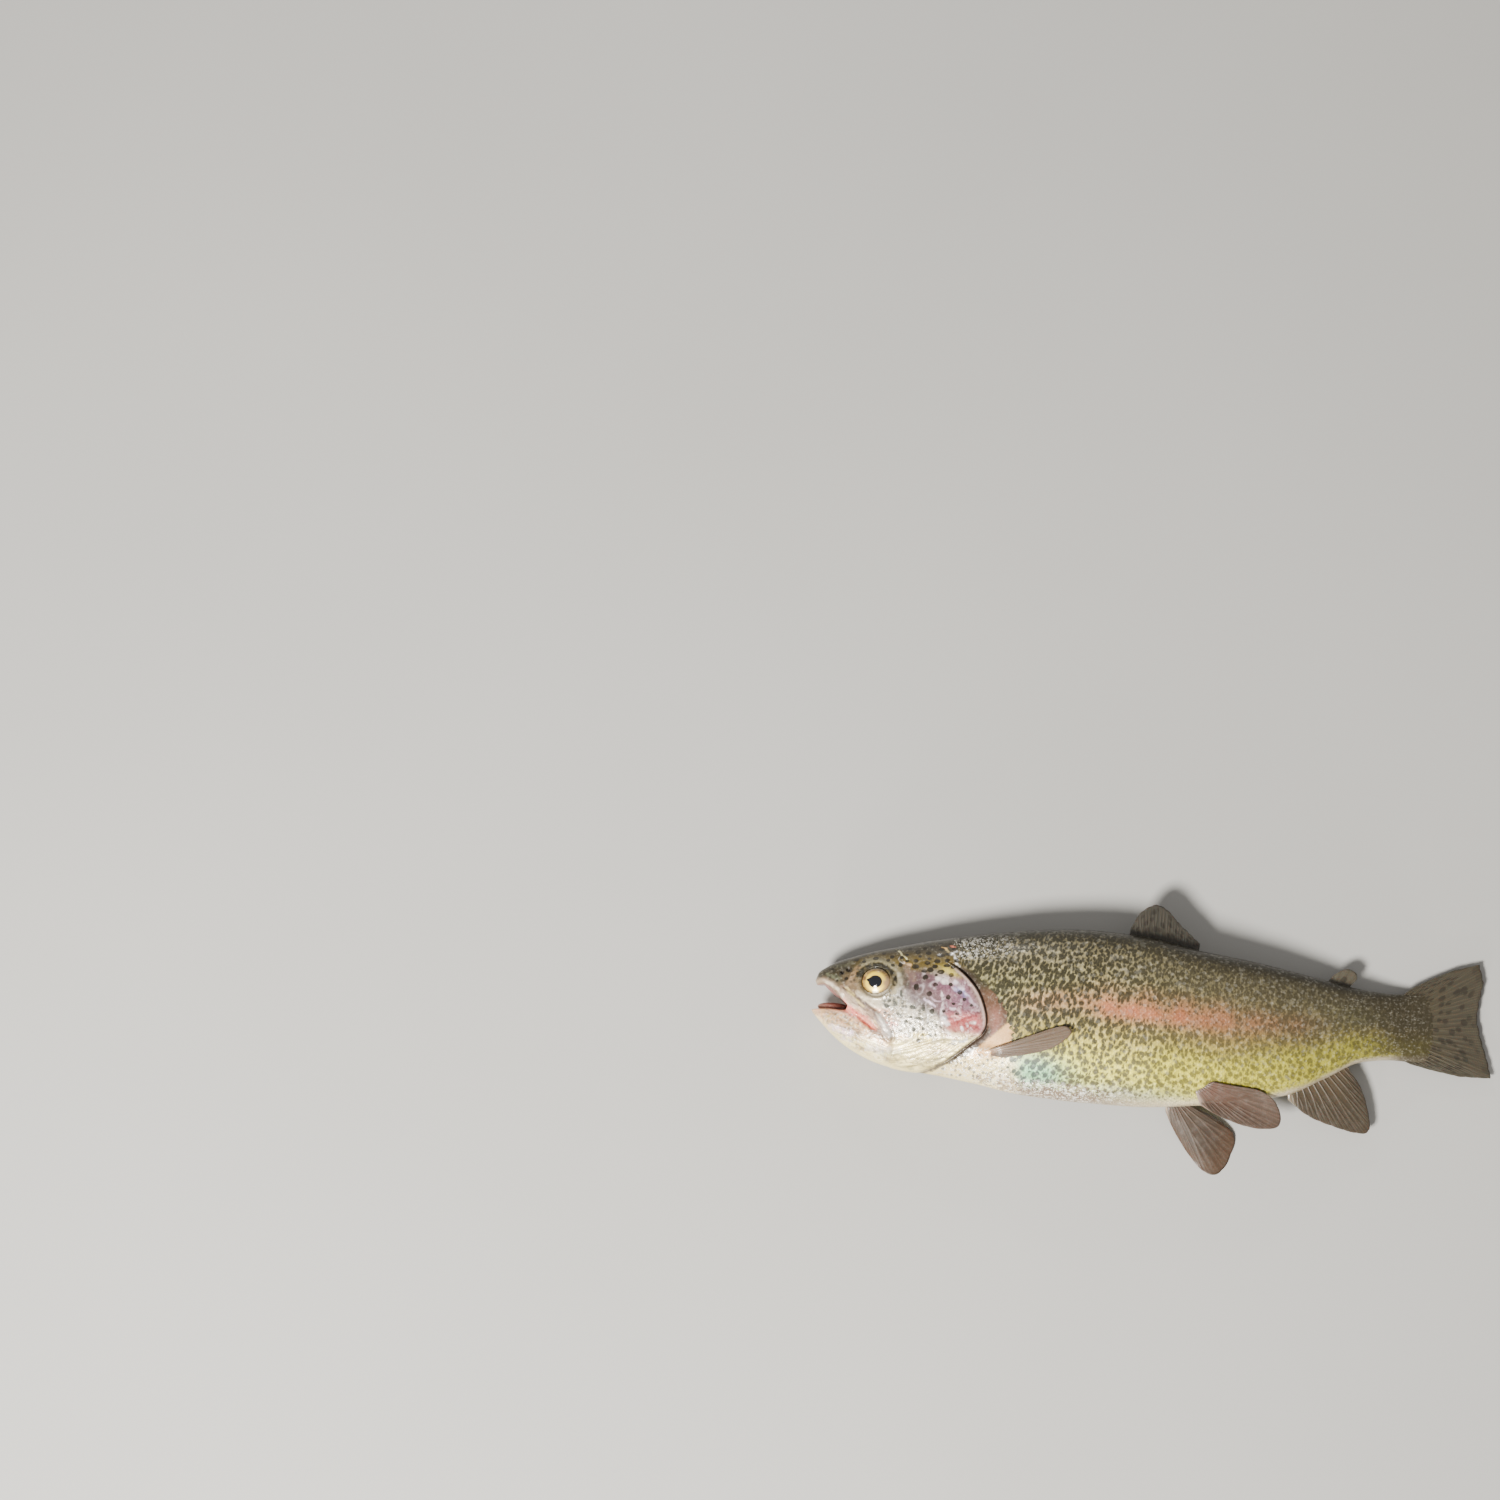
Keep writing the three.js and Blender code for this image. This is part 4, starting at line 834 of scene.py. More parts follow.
        # painted shadow just behind the gill cover's edge, strongest above, partly the dark pigment there
        col = mix(col, DARK_C * 2.2, 0.85 * near * gauss(g - 0.9, 1.3) * (g > -0.2) * (0.18 + 0.82 * sstep(-1.0, 7.0, Y)))
        col = mix(col, rgb(0.230, 0.140, 0.105), 0.75 * near * sstep(1.2, 2.2, g) * sstep(6.4, 4.6, g) * sstep(-12.5, -14.5, Y) * sstep(-26.0, -20.0, Y))
        cream = near * sstep(0.5, 1.2, g) * sstep(14.0, 9.0, g) * sstep(0.4, -1.0, flap) * sstep(-31, -26, Y)
        col = mix(col, CREAM_C, 0.92 * cream)
        col = mix(col, WHITE_C, 0.75 * near * sstep(-20.5, -24, Y) * sstep(0.3, 1.0, g) * sstep(30, 22, g))
        # painted shade in the slit and, low down, in the gap under the cover's lower edge
        col = mix(col, rgb(0.10, 0.055, 0.040), np.clip(0.8 * m["slit"], 0, 1) * sstep(1.0, 3.0, np.abs(Z)) * sstep(-18.0, -12.0, Y) * (0.35 + 0.65 * sstep(0.0, 6.0, Y)))
        col = mix(col, rgb(0.070, 0.036, 0.026), 0.88 * near * gauss(g - 0.9, 0.95) * (g > -0.15) * sstep(-12.0, -14.5, Y) * sstep(-24.0, -18.5, Y))
        col = mix(col, rgb(0.135, 0.110, 0.065), 0.80 * near * gauss(g - 0.5, 0.62) * (g > -0.3) * sstep(-19.0, -22.0, Y))
        # fold lines of the cheek foil, the gill cover, the throat and the chin
        memb0 = m["membrane"]
        flankward = sstep(2.5, 7.5, np.abs(Z))
        # cheek foil: painted shade in its creases, partly their grey-green specks, and a painted highlight on the flats
        # between
        col = mix(col, rgb(0.085, 0.088, 0.066), 0.92 * m["foil"] * (0.72 + 0.28 * n2))
        col = mix(col, rgb(0.98, 0.97, 0.93), 0.45 * (m["foil"] < 0.12) * sstep(21, 26, X) * sstep(46, 40, X) * sstep(1, -4, Y) * sstep(-17, -14, Y))
        # painted shade in the creases of the gill cover
        col = mix(col, col * rgb(0.22, 0.17, 0.22), 0.75 * m["cover_lines"])
        col = mix(col, rgb(0.90, 0.78, 0.82), 0.40 * sstep(0.10, 0.0, m["cover_lines"]) * gauss(plane_noise(X, Y, 0.8, 41) - 0.9, 0.3) * sstep(34, 40, X) * sstep(12, 8, Y) * sstep(-15, -13, Y) * (g < -0.8))
        # painted shade in the grooves between the throat's rays and on the chin, partly their tan streaks
        col = mix(col, rgb(0.120, 0.105, 0.055), 0.88 * m["ray_lines"] * (0.75 + 0.25 * n2) * flankward)
        col = mix(col, rgb(0.260, 0.190, 0.150), 0.72 * m["chin_lines"] * flankward)
        band = streaks(X, Y, 9.0, 0.26, 1.5, 71, 0.42)
        col = mix(col, col * rgb(0.52, 0.50, 0.42), 0.75 * band * head * sstep(-13.5, -16.5, Y + 0.10 * (X - 45)) * sstep(22, 30, X) * (g < 0) * flankward)
        band = streaks(X, Y, -24.0, 0.30, 1.5, 72, 0.40)
        col = mix(col, col * rgb(0.60, 0.50, 0.46), 0.65 * band * jawm * (memb0 > 0.4) * flankward)
        lip_e = near * gauss(g + 0.65, 0.55) * (g < 0)
        col = mix(col, rgb(0.78, 0.55, 0.52), 0.55 * lip_e * sstep(-15, -6, Y))
        lipm = gauss(m["lip"], 1.15) * sstep(13, 10, X)
        col = mix(col, rgb(0.58, 0.42, 0.29), 0.70 * lipm)
        mxm = sstep(0.35, -0.5, m["maxilla"])
        col = mix(col, rgb(0.42, 0.30, 0.21), 0.88 * mxm)
        col = mix(col, rgb(0.74, 0.66, 0.60), (0.45 + 0.25 * n2) * mxm * sstep(18.5, 23, X))
        col = mix(col, rgb(0.22, 0.16, 0.12), 0.60 * mxm * streaks(X, Y, -40.0, 0.35, 3.6, 73))
        col = mix(col, rgb(0.36, 0.22, 0.15), 0.60 * gauss(m["maxilla"] - 0.35, 0.45) * (X > 7))
        memb = sstep(0.5, -0.7, m["membrane"])
        col = mix(col, rgb(0.86, 0.27, 0.19), 0.92 * memb)
        col = mix(col, rgb(0.40, 0.14, 0.10), 0.55 * gauss(m["membrane"] - 0.1, 0.4) * (X > 9) * (Y < -6))
        pp = gauss(np.hypot(X - 27.8, Y + 11.2), 1.9)
        col = mix(col, rgb(0.80, 0.42, 0.38), 0.6 * pp)
        col = mix(col, rgb(0.16, 0.12, 0.085), 0.70 * m["pores"])
        r = m["eye_r"]
        ang = np.degrees(np.arctan2(Y - EYE["y"], -(X - EYE["x"])))
        above = sstep(-5, 40, ang) * sstep(185, 130, ang)
        col = mix(col, rgb(0.035, 0.030, 0.016), 0.80 * gauss(r - 6.5, 0.95) * above)
        col = mix(col, rgb(0.30, 0.27, 0.17), 0.65 * gauss(r - 9.0, 1.3) * sstep(25, 60, ang) * sstep(175, 130, ang))
        col = mix(col, rgb(0.210, 0.155, 0.075), 0.75 * gauss(r - 6.8, 0.9) * (1 - above))
        col = mix(col, rgb(0.060, 0.046, 0.020), 0.72 * gauss(r - 6.05, 0.50))
        # nostril pits painted near black: painted shade in the pits
        for px, py, pr in NOSTRILS:
            q = np.hypot(X - px, Y - py)
            col = mix(col, DARK_C, 0.92 * sstep(pr + 0.25, pr - 0.3, q))
        i = np.nonzero((X < 72) & (np.abs(Z) > 1.0))[0]
        xi, yi, ci = X[i] + 0.22 * plane_noise(X[i], Y[i], 1.5, 61), Y[i] + 0.22 * plane_noise(X[i], Y[i], 1.5, 62), col[i]
        worn = np.clip(0.74 + 0.50 * plane_noise(X[i], Y[i], 2.6, 63), 0.12, 1.0)
        near_side = sstep(1.0, 4.0, np.abs(Z[i]))
        for w, c, a, pts in STROKES:
            ci = mix(ci, rgb(*c), np.clip(a * worn, 0, 1) * near_side * sstep(w * 1.45, w * 0.55, line_dist(xi, yi, pts)))
        col[i] = ci
        mouth = m.get("mouth")
        if mouth is not None:
            col = mix(col, GUM_C, 0.93 * mouth)
            # painted shade: the mouth's inside darker further back
            col = mix(col, GUM_C * rgb(0.40, 0.26, 0.24), 0.85 * mouth * sstep(1.0, 9.0, X))
    # masks: amount of dark marks on the flank, of round crown spots, silver, cheek flecks
    marks = sstep(0.95, 0.78, vv + 0.02 * n2) * (1 - head)
    marks = marks * (1 - 0.88 * np.clip(1.30 * stripe, 0, 1)) * (1 - 0.65 * fore)
    crownm = head * sstep(3.5, 8.0, Y + 0.7 * n1 - 0.05 * (X - 30)) * sstep(16.0, 24.0, X + 0.4 * (Y - 10))
    silv = np.clip(sstep(0.60, 0.92, vv) * (1 - head) * 0.42 + head * sstep(8, -2, Y) * 0.28, 0, 1)
    silv = silv * (1 - 0.6 * dusk) * (1 - 0.45 * belly_edge_shade)
    fleck = head * sstep(4.5, -2.5, Y + 0.9 * n1) * sstep(-18.0, -13.5, Y) * sstep(21, 27, X) * sstep(58, 45, X) * (1 - lil) * (1 - pink)
    fleck = np.maximum(fleck, 0.6 * sstep(52, 56, X) * sstep(75, 70, X) * sstep(-19.5, -22.0, Y))
    fleck = np.maximum(fleck, 0.42 * head * jawm * sstep(-6.0, -8.0, Y))
    wild = head * sstep(20.0, 15.0, X) * sstep(2.5, 6.0, Y)
    if m is not None:
        marks = np.where((g < 0.3) & (X < 80), 0.0, marks)
        keep = 1 - np.clip(girdle + cream + memb + mxm + lipm, 0, 1)
        marks, crownm, fleck, wild = marks * keep, crownm * keep, fleck * keep, wild * keep
        fleck = np.maximum(fleck, 0.80 * near * sstep(0.8, 1.8, g) * sstep(-17.0, -20.0, Y + 0.6 * n2) * sstep(82, 70, X))
        mo = m.get("mouth")
        if mo is not None:
            silv = silv * (1 - mo)
            marks = marks * (1 - mo)
            fleck = fleck * (1 - mo)
    fleck = fleck * sstep(1.0, 6.5, np.abs(Z))
    spots = spot_field(P)
    if m is not None and m.get("mouth") is not None:
        spots = np.where(m["mouth"] > 0.3, -1.0, spots)
    # a flat chart of the body, unrolled from the middle of the back: length, girth
    G = v * GIRTH(X)
    body_co = np.stack([X, np.where(Z >= 0, G, -G), v], 1)
    return np.clip(col, 0, 1), marks, spots, silv, fleck, wild, body_co


def all_spots():
    """The spots of both sides, and more of the same over the top of the head, as points on the body."""
    rng = np.random.default_rng(77)
    out = []
    for side in (1, -1):
        for x, y, a, b in SPOTS:
            if side < 0:
                x, y, a, b = x + rng.uniform(-1.3, 1.3), y + rng.uniform(-0.9, 0.9), a * rng.uniform(0.8, 1.2), b * rng.uniform(0.8, 1.2)
            bk, bl = float(BACK(x)), float(BELLY(x))
            c = np.clip((y - (bk + bl) / 2) / ((bk - bl) / 2), -0.995, 0.995)
            z = float(HALF(x)) * (1 - EGG * c) * (1 - abs(c) ** POWER) ** (1 / POWER)
            out.append((x, min(y, bk), side * z, a, b))
    for _ in range(900):
        x, v, side = rng.uniform(12, 57), rng.uniform(0, 0.15), rng.choice([-1, 1])
        p = surf_point(np.array([x]), np.array([v]))[0]
        p[2] *= side
        if min(math.dist(p, q[:3]) for q in out) > 3.4 and p[1] > 11.5:
            out.append((p[0], p[1], p[2], rng.uniform(0.8, 1.25), rng.uniform(0.65, 0.95)))
    return out


def spot_field(P):
    """1 in the middle of a spot, 0 at its edge, less than 0 outside."""
    out = np.full(len(P), -1.0)
    i = np.nonzero(P[:, 0] < 66)[0]
    if not len(i):
        return out
    Q = P[i]
    best = np.full(len(Q), 9.0)
    rough = 0.15 * wave(Q, 1.9, 5) + 0.13 * wave(Q, 3.6, 6)
    for x, y, z, a, b in all_spots():
        j = np.nonzero((np.abs(Q[:, 0] - x) < 3.2) & (np.abs(Q[:, 1] - y) < 3.2) & (np.abs(Q[:, 2] - z) < 5))[0]
        if len(j):
            q = Q[j]
            r = np.sqrt(((q[:, 0] - x) / a) ** 2 + ((q[:, 1] - y) ** 2 + (0.7 * (q[:, 2] - z)) ** 2) / (b * b))
            best[j] = np.minimum(best[j], r)
    out[i] = np.clip(1 - best + rough * (best < 3), -1, 1)
    return out


def put_paint(me, P, m=None):
    col, marks, crownm, silv, fleck, wild, bc = paint(P, m)
    attr(me, "ground", np.concatenate([col, np.ones((len(col), 1))], 1))
    attr(me, "marks", marks)
    attr(me, "crown", crownm)
    attr(me, "silver", silv)
    attr(me, "fleck", fleck)
    attr(me, "wild", wild)
    attr(me, "body_co", bc)
    attr(me, "fish_co", P)


# ------------------------------------------------------------------- materials
class Nodes:
    def __init__(self, name):
        self.mat = bpy.data.materials.new(name)
        self.mat.use_nodes = True
        self.t = self.mat.node_tree
        self.bsdf = self.t.nodes["Principled BSDF"]

    def new(self, kind, **kw):
        n = self.t.nodes.new(kind)
        for k, v in kw.items():
            setattr(n, k, v)
        return n

    def link(self, a, b):
        self.t.links.new(a, b)

    def attr(self, name, out="Fac"):
        n = self.new("ShaderNodeAttribute", attribute_name=name)
        return n.outputs[out]

    def math(self, op, a, b=None, c=None, clamp=False):
        n = self.new("ShaderNodeMath", operation=op, use_clamp=clamp)
        for i, v in enumerate((a, b, c)):
            if v is None:
                continue
            if isinstance(v, (int, float)):
                n.inputs[i].default_value = v
            else:
                self.link(v, n.inputs[i])
        return n.outputs[0]

    def ramp(self, v, a, b, c=0.0, d=1.0, smooth=True):
        n = self.new("ShaderNodeMapRange", clamp=True, interpolation_type="SMOOTHSTEP" if smooth else "LINEAR")
        self.link(v, n.inputs["Value"])
        n.inputs["From Min"].default_value = a
        n.inputs["From Max"].default_value = b
        n.inputs["To Min"].default_value = c
        n.inputs["To Max"].default_value = d
        return n.outputs["Result"]

    def mixc(self, f, a, b, mode="MIX"):
        n = self.new("ShaderNodeMix", data_type="RGBA", blend_type=mode)
        if isinstance(f, (int, float)):
            n.inputs[0].default_value = f
        else:
            self.link(f, n.inputs[0])
        for k, v in ((6, a), (7, b)):
            if isinstance(v, tuple):
                n.inputs[k].default_value = v
            else:
                self.link(v, n.inputs[k])
        return n.outputs[2]

    def vmath(self, op, a, b):
        n = self.new("ShaderNodeVectorMath", operation=op)
        for i, v in enumerate((a, b)):
            if isinstance(v, tuple):
                n.inputs[i].default_value = v
            else:
                self.link(v, n.inputs[i])
        return n.outputs["Value"] if op in ("DISTANCE", "LENGTH") else n.outputs[0]

    def noise(self, vec, scale, detail=2.0, rough=0.5, out="Fac"):
        n = self.new("ShaderNodeTexNoise")
        self.link(vec, n.inputs["Vector"])
        n.inputs["Scale"].default_value = scale
        n.inputs["Detail"].default_value = detail
        n.inputs["Roughness"].default_value = rough
        return n.outputs["Fac" if out == "Fac" else "Color"]

    def voronoi(self, vec, scale, feature="F1", rnd=1.0, out="Distance", dim="3D"):
        n = self.new("ShaderNodeTexVoronoi", feature=feature, voronoi_dimensions=dim)
        self.link(vec, n.inputs["Vector"])
        n.inputs["Scale"].default_value = scale
        n.inputs["Randomness"].default_value = rnd
        return n.outputs[out]

    def split(self, col):
        n = self.new("ShaderNodeSeparateColor")
        self.link(col, n.inputs[0])
        return n.outputs

    def wobble(self, vec, scale, amount):
        w = self.noise(vec, scale, 2.0, 0.6, "Color")
        n = self.new("ShaderNodeVectorMath", operation="SCALE")
        self.link(self.vmath("SUBTRACT", w, (0.5, 0.5, 0.5)), n.inputs[0])
        n.inputs["Scale"].default_value = amount
        return self.vmath("ADD", vec, n.outputs[0])

    def bump(self, height, strength, dist):
        n = self.new("ShaderNodeBump")
        self.link(height, n.inputs["Height"])
        n.inputs["Strength"].default_value = strength
        n.inputs["Distance"].default_value = dist
        self.link(n.outputs[0], self.bsdf.inputs["Normal"])
        return n

    def set(self, **kw):
        for k, v in kw.items():
            self.bsdf.inputs[k.replace("_", " ")].default_value = v


def srgb(h, a=1.0):
    r, g, b = hexc(h)
    return (float(r), float(g), float(b), a)


def lin4(c):
    return (float(c[0]), float(c[1]), float(c[2]), 1.0)


def fish_material(name, scales=False):
    N = Nodes(name)
    bc = N.attr("body_co", "Vector")
    fc = N.attr("fish_co", "Vector")
    ground = N.attr("ground", "Color")
    marks, crown, silver, fleck, wild = (N.attr(k) for k in ("marks", "crown", "silver", "fleck", "wild"))
    xyz = N.new("ShaderNodeSeparateXYZ")
    N.link(bc, xyz.inputs[0])
    xf = N.new("ShaderNodeSeparateXYZ")
    N.link(fc, xf.inputs[0])
    v = xyz.outputs[2]
    # flank marks: close-set dark commas, taller than long, worn at their edges
    lean = N.new("ShaderNodeCombineXYZ")
    N.link(N.math("MULTIPLY_ADD", N.math("ABSOLUTE", xyz.outputs[1]), 0.16, xyz.outputs[0]), lean.inputs[0])
    N.link(N.math("MULTIPLY", xyz.outputs[1], 0.62), lean.inputs[1])
    q = N.wobble(N.wobble(lean.outputs[0], 0.40, 1.9), 1.7, 0.75)
    d1 = N.voronoi(q, 0.630, "F1", 0.90, dim="2D")
    cell = N.split(d1.node.outputs["Color"])
    # smaller and closer towards the back
    fine = N.voronoi(q, 0.800, "F1", 0.90, dim="2D")
    d1 = N.math("ADD", d1, N.math("MULTIPLY", N.math("SUBTRACT", fine, d1), N.ramp(v, 0.44, 0.30)))
    tealm = N.math("MULTIPLY", N.ramp(v, 0.68, 0.76), N.ramp(xyz.outputs[0], 100.0, 84.0))
    lump = N.noise(q, 0.62, 2.0, 0.55)
    size = N.math("MULTIPLY_ADD", cell[0], 0.15, 0.325)
    size = N.math("ADD", size, N.ramp(lump, 0.35, 0.65, -0.10, 0.14, False))
    size = N.math("ADD", size, N.ramp(xyz.outputs[0], 106.0, 76.0, 0.0, 0.035))
    size = N.math("MULTIPLY", size, N.ramp(v, 0.56, 0.70, 1.0, 0.52))
    size = N.math("MULTIPLY", size, N.math("SUBTRACT", 1.0, N.math("MULTIPLY", tealm, 0.40)))
    size = N.math("MULTIPLY", size, N.ramp(marks, 0.0, 0.8, 0.2, 1.0))
    # larger, rounder and wider apart low on the side
    q2 = N.wobble(bc, 0.6, 1.1)
    d2 = N.voronoi(q2, 0.350, "F1", 0.85, dim="2D")
    cell2 = N.split(d2.node.outputs["Color"])
    size2 = N.math("MULTIPLY_ADD", cell2[0], 0.11, N.math("MULTIPLY_ADD", tealm, 0.055, 0.235))
    size2 = N.math("MULTIPLY", size2, N.math("MULTIPLY", N.ramp(v, 0.56, 0.70), N.ramp(v, 0.97, 0.86)))
    size2 = N.math("MULTIPLY", size2, N.ramp(marks, 0.0, 0.8, 0.2, 1.0))
    gap = N.math("MINIMUM", N.math("SUBTRACT", d1, size), N.math("MULTIPLY_ADD", N.math("SUBTRACT", d2, size2), 1.4, N.ramp(v, 0.66, 0.56, 0.0, 0.6)))
    spot = N.ramp(gap, 0.125, -0.085)
    spot = N.math("MULTIPLY", spot, N.ramp(marks, 0.02, 0.30))
    spot = N.math("MULTIPLY", spot, N.ramp(N.noise(bc, 2.6, 2.0, 0.6), 0.28, 0.5, 0.66, 1.0))
    fade = N.ramp(xyz.outputs[0], 96.0, 165.0, 0.0, 1.0)
    dark = N.mixc(N.ramp(v, 0.50, 0.78), lin4((0.020, 0.0178, 0.0085)), lin4((0.060, 0.053, 0.020)))
    dark = N.mixc(N.math("MULTIPLY", fade, 0.50), dark, lin4((0.046, 0.036, 0.017)))
    dark = N.mixc(tealm, dark, lin4((0.040, 0.056, 0.046)))
    strength = N.math("SUBTRACT", 0.92, N.math("MULTIPLY", fade, 0.36))
    # the ground is olive close round each mark and palest in the gaps
    tone = N.ramp(gap, 0.02, 0.30, 0.68, 1.24)
    tone = N.math("MULTIPLY", tone, N.math("MULTIPLY_ADD", cell[1], 0.24, 0.88))
    tone = N.math("MULTIPLY", tone, N.ramp(fade, 0.0, 0.6, 1.20, 0.92))
    tone = N.math("ADD", 1.0, N.math("MULTIPLY", N.math("SUBTRACT", tone, 1.0), N.math("MULTIPLY", marks, N.ramp(fade, 0.0, 1.0, 1.0, 0.50))))
    # round spots of the head
    edge = N.math("ADD", crown, N.math("MULTIPLY", N.math("SUBTRACT", N.noise(fc, 2.4, 2.0, 0.6), 0.5), 0.35))
    cs = N.ramp(edge, -0.16, 0.12)
    csc = N.mixc(N.ramp(fleck, 0.05, 0.5), lin4((0.012, 0.009, 0.004)), lin4((0.085, 0.088, 0.070)))
    cs = N.math("MULTIPLY", cs, N.ramp(N.noise(fc, 0.55, 1.0, 0.5), 0.30, 0.55, 0.78, 0.95))
    # small broken marks on the snout
    dw = N.voronoi(N.wobble(fc, 0.6, 1.0), 0.50, "F1", 0.9, dim="2D")
    ws = N.math("MULTIPLY", N.ramp(dw, 0.36, 0.20), N.ramp(wild, 0.1, 0.6))
    # grey specks on the cheek, and bright flakes: its silver, painted whiter as painted glints
    dz = N.voronoi(N.wobble(fc, 0.9, 0.9), 0.60, "F1", 1.0, dim="2D")
    rz = N.split(dz.node.outputs["Color"])
    speck = N.math("MULTIPLY", N.ramp(dz, 0.44, 0.22), N.ramp(rz[0], 0.54, 0.64))
    speck = N.math("MULTIPLY", speck, N.ramp(fleck, 0.1, 0.7))
    flake = N.math("MULTIPLY", N.ramp(N.noise(fc, 1.05, 3.0, 0.62), 0.50, 0.60), N.ramp(fleck, 0.1, 0.7))
    # mottling of the ground itself
    big = N.noise(fc, 0.16, 3.0, 0.6)
    small = N.noise(fc, 0.9, 3.0, 0.65)
    grain = N.noise(fc, 2.2, 2.0, 0.6)
    col = N.mixc(N.ramp(big, 0.35, 0.7, 0.0, 0.36), ground, lin4((0.55, 0.52, 0.42)), "MULTIPLY")
    col = N.mixc(N.ramp(small, 0.50, 0.78, 0.0, 0.14), col, lin4((0.95, 0.90, 0.76)), "SCREEN")
    col = N.mixc(N.ramp(small, 0.48, 0.25, 0.0, 0.45), col, lin4((0.42, 0.39, 0.32)), "MULTIPLY")
    col = N.mixc(N.ramp(grain, 0.48, 0.30, 0.0, 0.30), col, lin4((0.50, 0.47, 0.42)), "MULTIPLY")
    col = N.mixc(1.0, col, tone, "MULTIPLY")
    # painted glints: the cheek's bright flakes, whitened
    col = N.mixc(N.math("MULTIPLY", flake, 0.65), col, lin4((1.0, 0.98, 0.92)))
    col = N.mixc(N.math("MULTIPLY", spot, strength), col, dark)
    col = N.mixc(N.math("MULTIPLY", ws, 0.60), col, lin4((0.022, 0.020, 0.014)))
    col = N.mixc(cs, col, csc)
    col = N.mixc(N.math("MULTIPLY", speck, 0.80), col, lin4((0.095, 0.095, 0.080)))
    metal = N.ramp(N.math("ADD", silver, N.math("MULTIPLY", flake, 0.35)), 0.0, 1.0, 0.03, 0.62, False)
    rough = N.math("SUBTRACT", N.ramp(small, 0.3, 0.7, 0.30, 0.46), N.math("MULTIPLY", fleck, 0.12))
    if scales:
        sc = N.attr("scale_l")
        rnd = N.attr("scale_r")
        # painted highlight on each scale's free rim, fading towards the tail, and painted shade at its buried root
        rim = N.ramp(sc, 0.66, 0.98)
        keep = N.math("SUBTRACT", 1.0, N.math("MULTIPLY", spot, 0.55))
        painted_highlight = N.mixc(1.0, col, lin4((1.75, 1.70, 1.50)), "MULTIPLY")
        col = N.mixc(N.math("MULTIPLY", N.math("MULTIPLY", rim, N.ramp(xyz.outputs[0], 150.0, 215.0, 0.60, 0.15)), keep), col, painted_highlight)
        col = N.mixc(N.ramp(sc, 0.62, 0.25, 0.0, 0.30), col, lin4((0.50, 0.47, 0.38)), "MULTIPLY")
        col = N.mixc(N.ramp(rnd, 0.80, 1.0, 0.0, 0.07), col, lin4((0.95, 0.93, 0.82)), "SCREEN")
        col = N.mixc(N.ramp(rnd, 0.40, 0.0, 0.0, 0.35), col, lin4((0.55, 0.52, 0.44)), "MULTIPLY")
        # bright and dark scales side by side on the nape and along the belly's edge: painted glints and painted dark
        # reflections of wet scales
        nape = N.math("MULTIPLY", N.math("MULTIPLY", N.ramp(v, 0.27, 0.16), N.ramp(v, 0.05, 0.12)), N.ramp(xyz.outputs[0], 80.0, 56.0, 0.0, 0.80))
        keel = N.math("MULTIPLY", N.math("MULTIPLY", N.ramp(v, 0.820, 0.865), N.ramp(v, 1.0, 0.97)), N.ramp(xyz.outputs[0], 130.0, 92.0, 0.0, 0.85))
        zone = N.math("MAXIMUM", nape, keel)
        shine = N.math("MULTIPLY", N.ramp(N.math("ADD", rnd, N.math("MULTIPLY", sc, 0.34)), 1.00, 1.12), zone)
        col = N.mixc(N.math("MULTIPLY", shine, 0.45), col, lin4((0.97, 0.94, 0.84)))
        col = N.mixc(N.math("MULTIPLY", N.ramp(rnd, 0.42, 0.30), N.math("MULTIPLY", nape, 0.55)), col, lin4((0.014, 0.012, 0.008)))
        col = N.mixc(N.math("MULTIPLY", N.ramp(rnd, 0.55, 0.42), N.math("MULTIPLY", keel, 0.80)), col, lin4((0.185, 0.125, 0.090)))
        # painted glints: white flecks over the same two zones
        glit = N.math("MULTIPLY", N.ramp(N.noise(bc, 1.30, 2.0, 0.7), 0.55, 0.63), zone)
        col = N.mixc(N.math("MULTIPLY", glit, 0.95), col, lin4((1.0, 0.97, 0.88)))
        # a share of the scales are mirror-bright, most of them on the shoulder
        spark = N.math("MULTIPLY", N.ramp(rnd, 0.72, 0.92), N.ramp(xyz.outputs[0], 150.0, 70.0, 0.08, 0.42))
        metal = N.math("MAXIMUM", metal, spark)
        rough = N.math("SUBTRACT", rough, N.math("MULTIPLY", spark, 0.16))
    N.link(col, N.bsdf.inputs["Base Color"])
    N.link(metal, N.bsdf.inputs["Metallic"])
    N.link(N.math("ADD", rough, N.math("MULTIPLY", spot, 0.06)), N.bsdf.inputs["Roughness"])
    if scales:
        N.set(Coat_Weight=0.15, Coat_Roughness=0.12, Coat_IOR=1.36, IOR=1.38)
    else:
        N.set(Coat_Weight=0.40, Coat_Roughness=0.09, Coat_IOR=1.36, IOR=1.38)
    h = N.math("ADD", N.math("MULTIPLY", N.noise(fc, 1.9, 4.0, 0.65), 0.7), N.math("MULTIPLY", N.voronoi(fc, 2.4, "F1", 1.0), 0.25))
    h = N.math("SUBTRACT", h, N.math("MULTIPLY", cs, 0.12))
    h = N.math("ADD", h, N.math("MULTIPLY", N.noise(fc, 1.4, 3.0, 0.6), N.math("MULTIPLY", fleck, 2.4)))
    N.bump(h, 0.55 if not scales else 0.15, 0.00014)
    return N.mat


